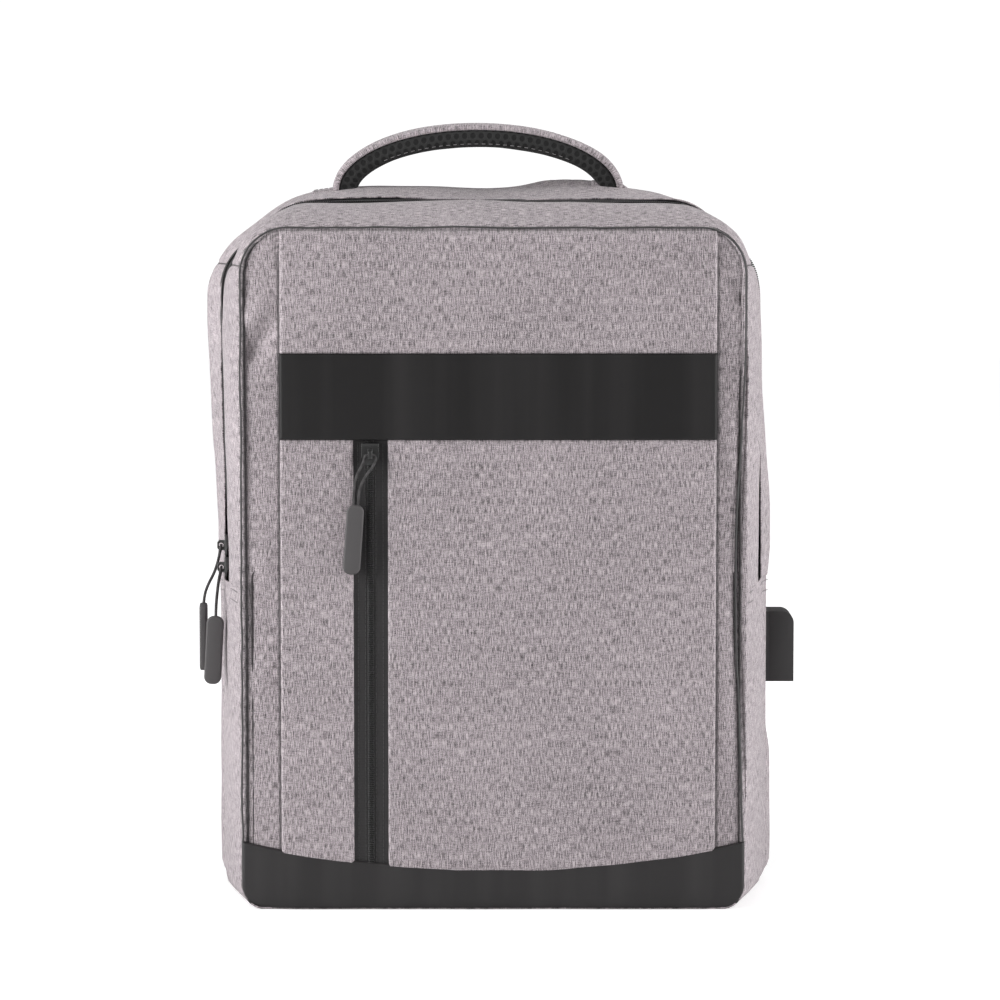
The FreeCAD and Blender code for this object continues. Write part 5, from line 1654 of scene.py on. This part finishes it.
def strap_webbing(side, way):
    """The webbing through the buckle, and the loop that holds the buckle to the pad."""
    web = ribbon(side + "_lower_webbing", way,
                 [(376, 0), (330, 0), (292, -1.2), (283, -2.9), (270, -3.0), (265, -2.9), (262.9, -1.6),
                  (262.6, 0), (262.9, 1.6), (265, 2.9), (270, 3.0), (283, 2.9), (296, 3.4), (330, 5.5),
                  (344, 5.8)],
                 WEB_HALF, 1.4 * MM)
    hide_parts(side + "_lower_webbing")
    tuple(on_strap(way, 306 * MM, 0, 0))
    tuple(on_strap(way, 282 * MM, 0, 0))
    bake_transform(web)
    loop = ribbon(side + "_buckle_loop", way,
                  [(236, 2.2), (250, 2.4), (256, 3.5), (260, 3.3), (262.0, 1.4), (262.0, -1.4), (260, -3.3),
                   (256, -3.5), (250, -2.4), (236, -2.2)], WEB_HALF, 1.2 * MM)
    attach(loop, side + "_strap")
    print(web.name, "has", len(web.data.polygons), "faces")


def corner_tab(side, way):
    """A folded triangle of cloth, sewn into the rear seam, that holds the webbing's end."""
    low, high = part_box(side + "_corner_tab")
    foot = Vector(on_strap(way, STRAP_REACH, 0, 0))
    x, t = np.meshgrid(np.linspace(-1, 1, 13), np.linspace(0, 1, 40))
    root_y = BACK_Y - 0.5 * MM
    tip_y = foot.y + 2.4 * MM
    fold = np.where(t < 0.5, t * 2, 2 - t * 2)
    y = root_y + (tip_y - root_y) * np.sin(fold * math.pi / 2)
    middle = (low.z + high.z) / 2 + 2 * MM
    z = middle + np.where(t < 0.5, 1, -1) * (6.4 - 3.6 * fold) * MM * np.cos(fold * math.pi / 2) ** 0.5
    wide = ((high.x - low.x) / 2 - 7 * MM * fold ** 0.8) * x
    places = np.stack([(low.x + high.x) / 2 + wide, y, z], -1)
    tab = lay_grid(side + "_corner_tab", places, np.stack([wide, t * 0.04], -1))
    face_out(tab, np.stack([0 * x, 0 * x, np.where(t < 0.5, 1.0, -1.0)], -1))
    thicken(tab, 1.2 * MM)
    dress(tab, heather, "bag", "heather_cloth", side + "_corner_tab")


for side, way in (("left", -1), ("right", 1)):
    strap_pad(side, way)
    for edge in (-1, 1):
        strap_binding(side, way, edge)
    strap_sewing(side, way)
    strap_webbing(side, way)
    corner_tab(side, way)

# %% [markdown]
# The yoke is a band of cloth across the top of the back. It covers the straps' sewn ends, and two
# short tongues of the same cloth carry the pull into the straps.

# %% Yoke
yoke_low, yoke_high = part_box("strap_yoke")


def yoke():
    """The band across the back, with a row of stitches along both edges."""
    t, s = np.meshgrid(steps(0.19, 3.2 * MM) * 2 - 1, steps(0.03, 2.4 * MM, edge=4 * MM))
    x = t * yoke_high.x
    z = yoke_low.z + (yoke_high.z - yoke_low.z) * s
    gap = np.minimum(yoke_high.x - np.abs(x), np.minimum(z - yoke_low.z, yoke_high.z - z))
    stand = 2.2 * MM * np.sqrt(1 - (1 - np.clip(gap / (1.8 * MM), 0, 1)) ** 2)
    places = np.stack([x, BACK_Y + stand - 0.2 * MM, z], -1)
    cloth = lay_grid("strap_yoke", places, np.stack([x, z], -1))
    face_out(cloth, np.zeros_like(places) + np.array([0, 1, 0]))
    thicken(cloth, 0.9 * MM)
    dress(cloth, heather, "bag", "heather_cloth", "strap_yoke")
    x = np.linspace(-0.093, 0.093, 60)
    lines = [np.stack([x, 0 * x + BACK_Y + 2.2 * MM, 0 * x + level], -1)
             for level in (yoke_low.z + 3 * MM, yoke_high.z - 3 * MM)]
    stitches("yoke_stitches", lines, (0, 1.0, 0), "bag", thread, 3.2 * MM)


def strap_root(side, way):
    """A tongue of cloth from the yoke down onto the strap."""
    t, s = np.meshgrid(np.linspace(-1, 1, 22), np.linspace(0, 1, 20))
    start = np.stack([way * 47 * MM + t * 20 * MM, BACK_Y + 2.2 * MM + 0 * t, 397 * MM + 0 * t], -1)
    end = on_strap(way, 10 * MM + 0 * t, t * 20.5 * MM, 6.4 * MM + 0 * t)
    share = rise(s, 0, 1)[..., None]
    places = start * (1 - share) + end * share
    places[..., 1] += 3.0 * MM * np.sin(s * math.pi)
    places[..., 2] += 2.0 * MM * np.sin(s * math.pi)
    tongue = lay_grid(side + "_strap_root", places, np.stack([t * 20 * MM, s * 0.03], -1))
    face_out(tongue, np.zeros_like(places) + np.array([0, 0.7, 0.7]))
    thicken(tongue, 0.9 * MM)
    dress(tongue, heather, None, "heather_cloth")
    bend_strap(tongue)


yoke()
for side, way in (("left", -1), ("right", 1)):
    strap_root(side, way)
print("yoke, in mm:", [round(d / MM) for d in yoke_high - yoke_low])

# %% [markdown]
# ## Charging port
# A rubber hood keeps rain off the socket. Its shape comes from the frame, and its rims are softened
# the way a moulding is. The socket's shell is plated, with a plastic tongue and four contacts.

# %% Port hood
soften("port_hood", port_rubber, "bag", "port_rubber", 1.6 * MM)

# %% [markdown]
# Topstitching holds the pocket mouths. It is close to the cloth's own colour, so it reads as a row
# of small dents and lights rather than as a line.

# %% Pocket mouths
for side, way in (("left", -1), ("right", 1)):
    y = np.linspace(SEAM_Y + 4 * MM, POCKET_BACK - 3 * MM, 40)
    lines = []
    for below in (3 * MM, 9 * MM):
        q = way * reach(y, ZIP_END - below)
        line, out = ring(q, y)
        lines.append(lean(line + out * 0.9 * MM))
    stitches("pocket_stitches_" + side, lines, (way * 1.0, 0, 0), "bag", thread, 3 * MM)

for model in (tooth, stitch):
    bpy.data.objects.remove(model)
print("pocket mouths are at", round(ZIP_END / MM), "mm")
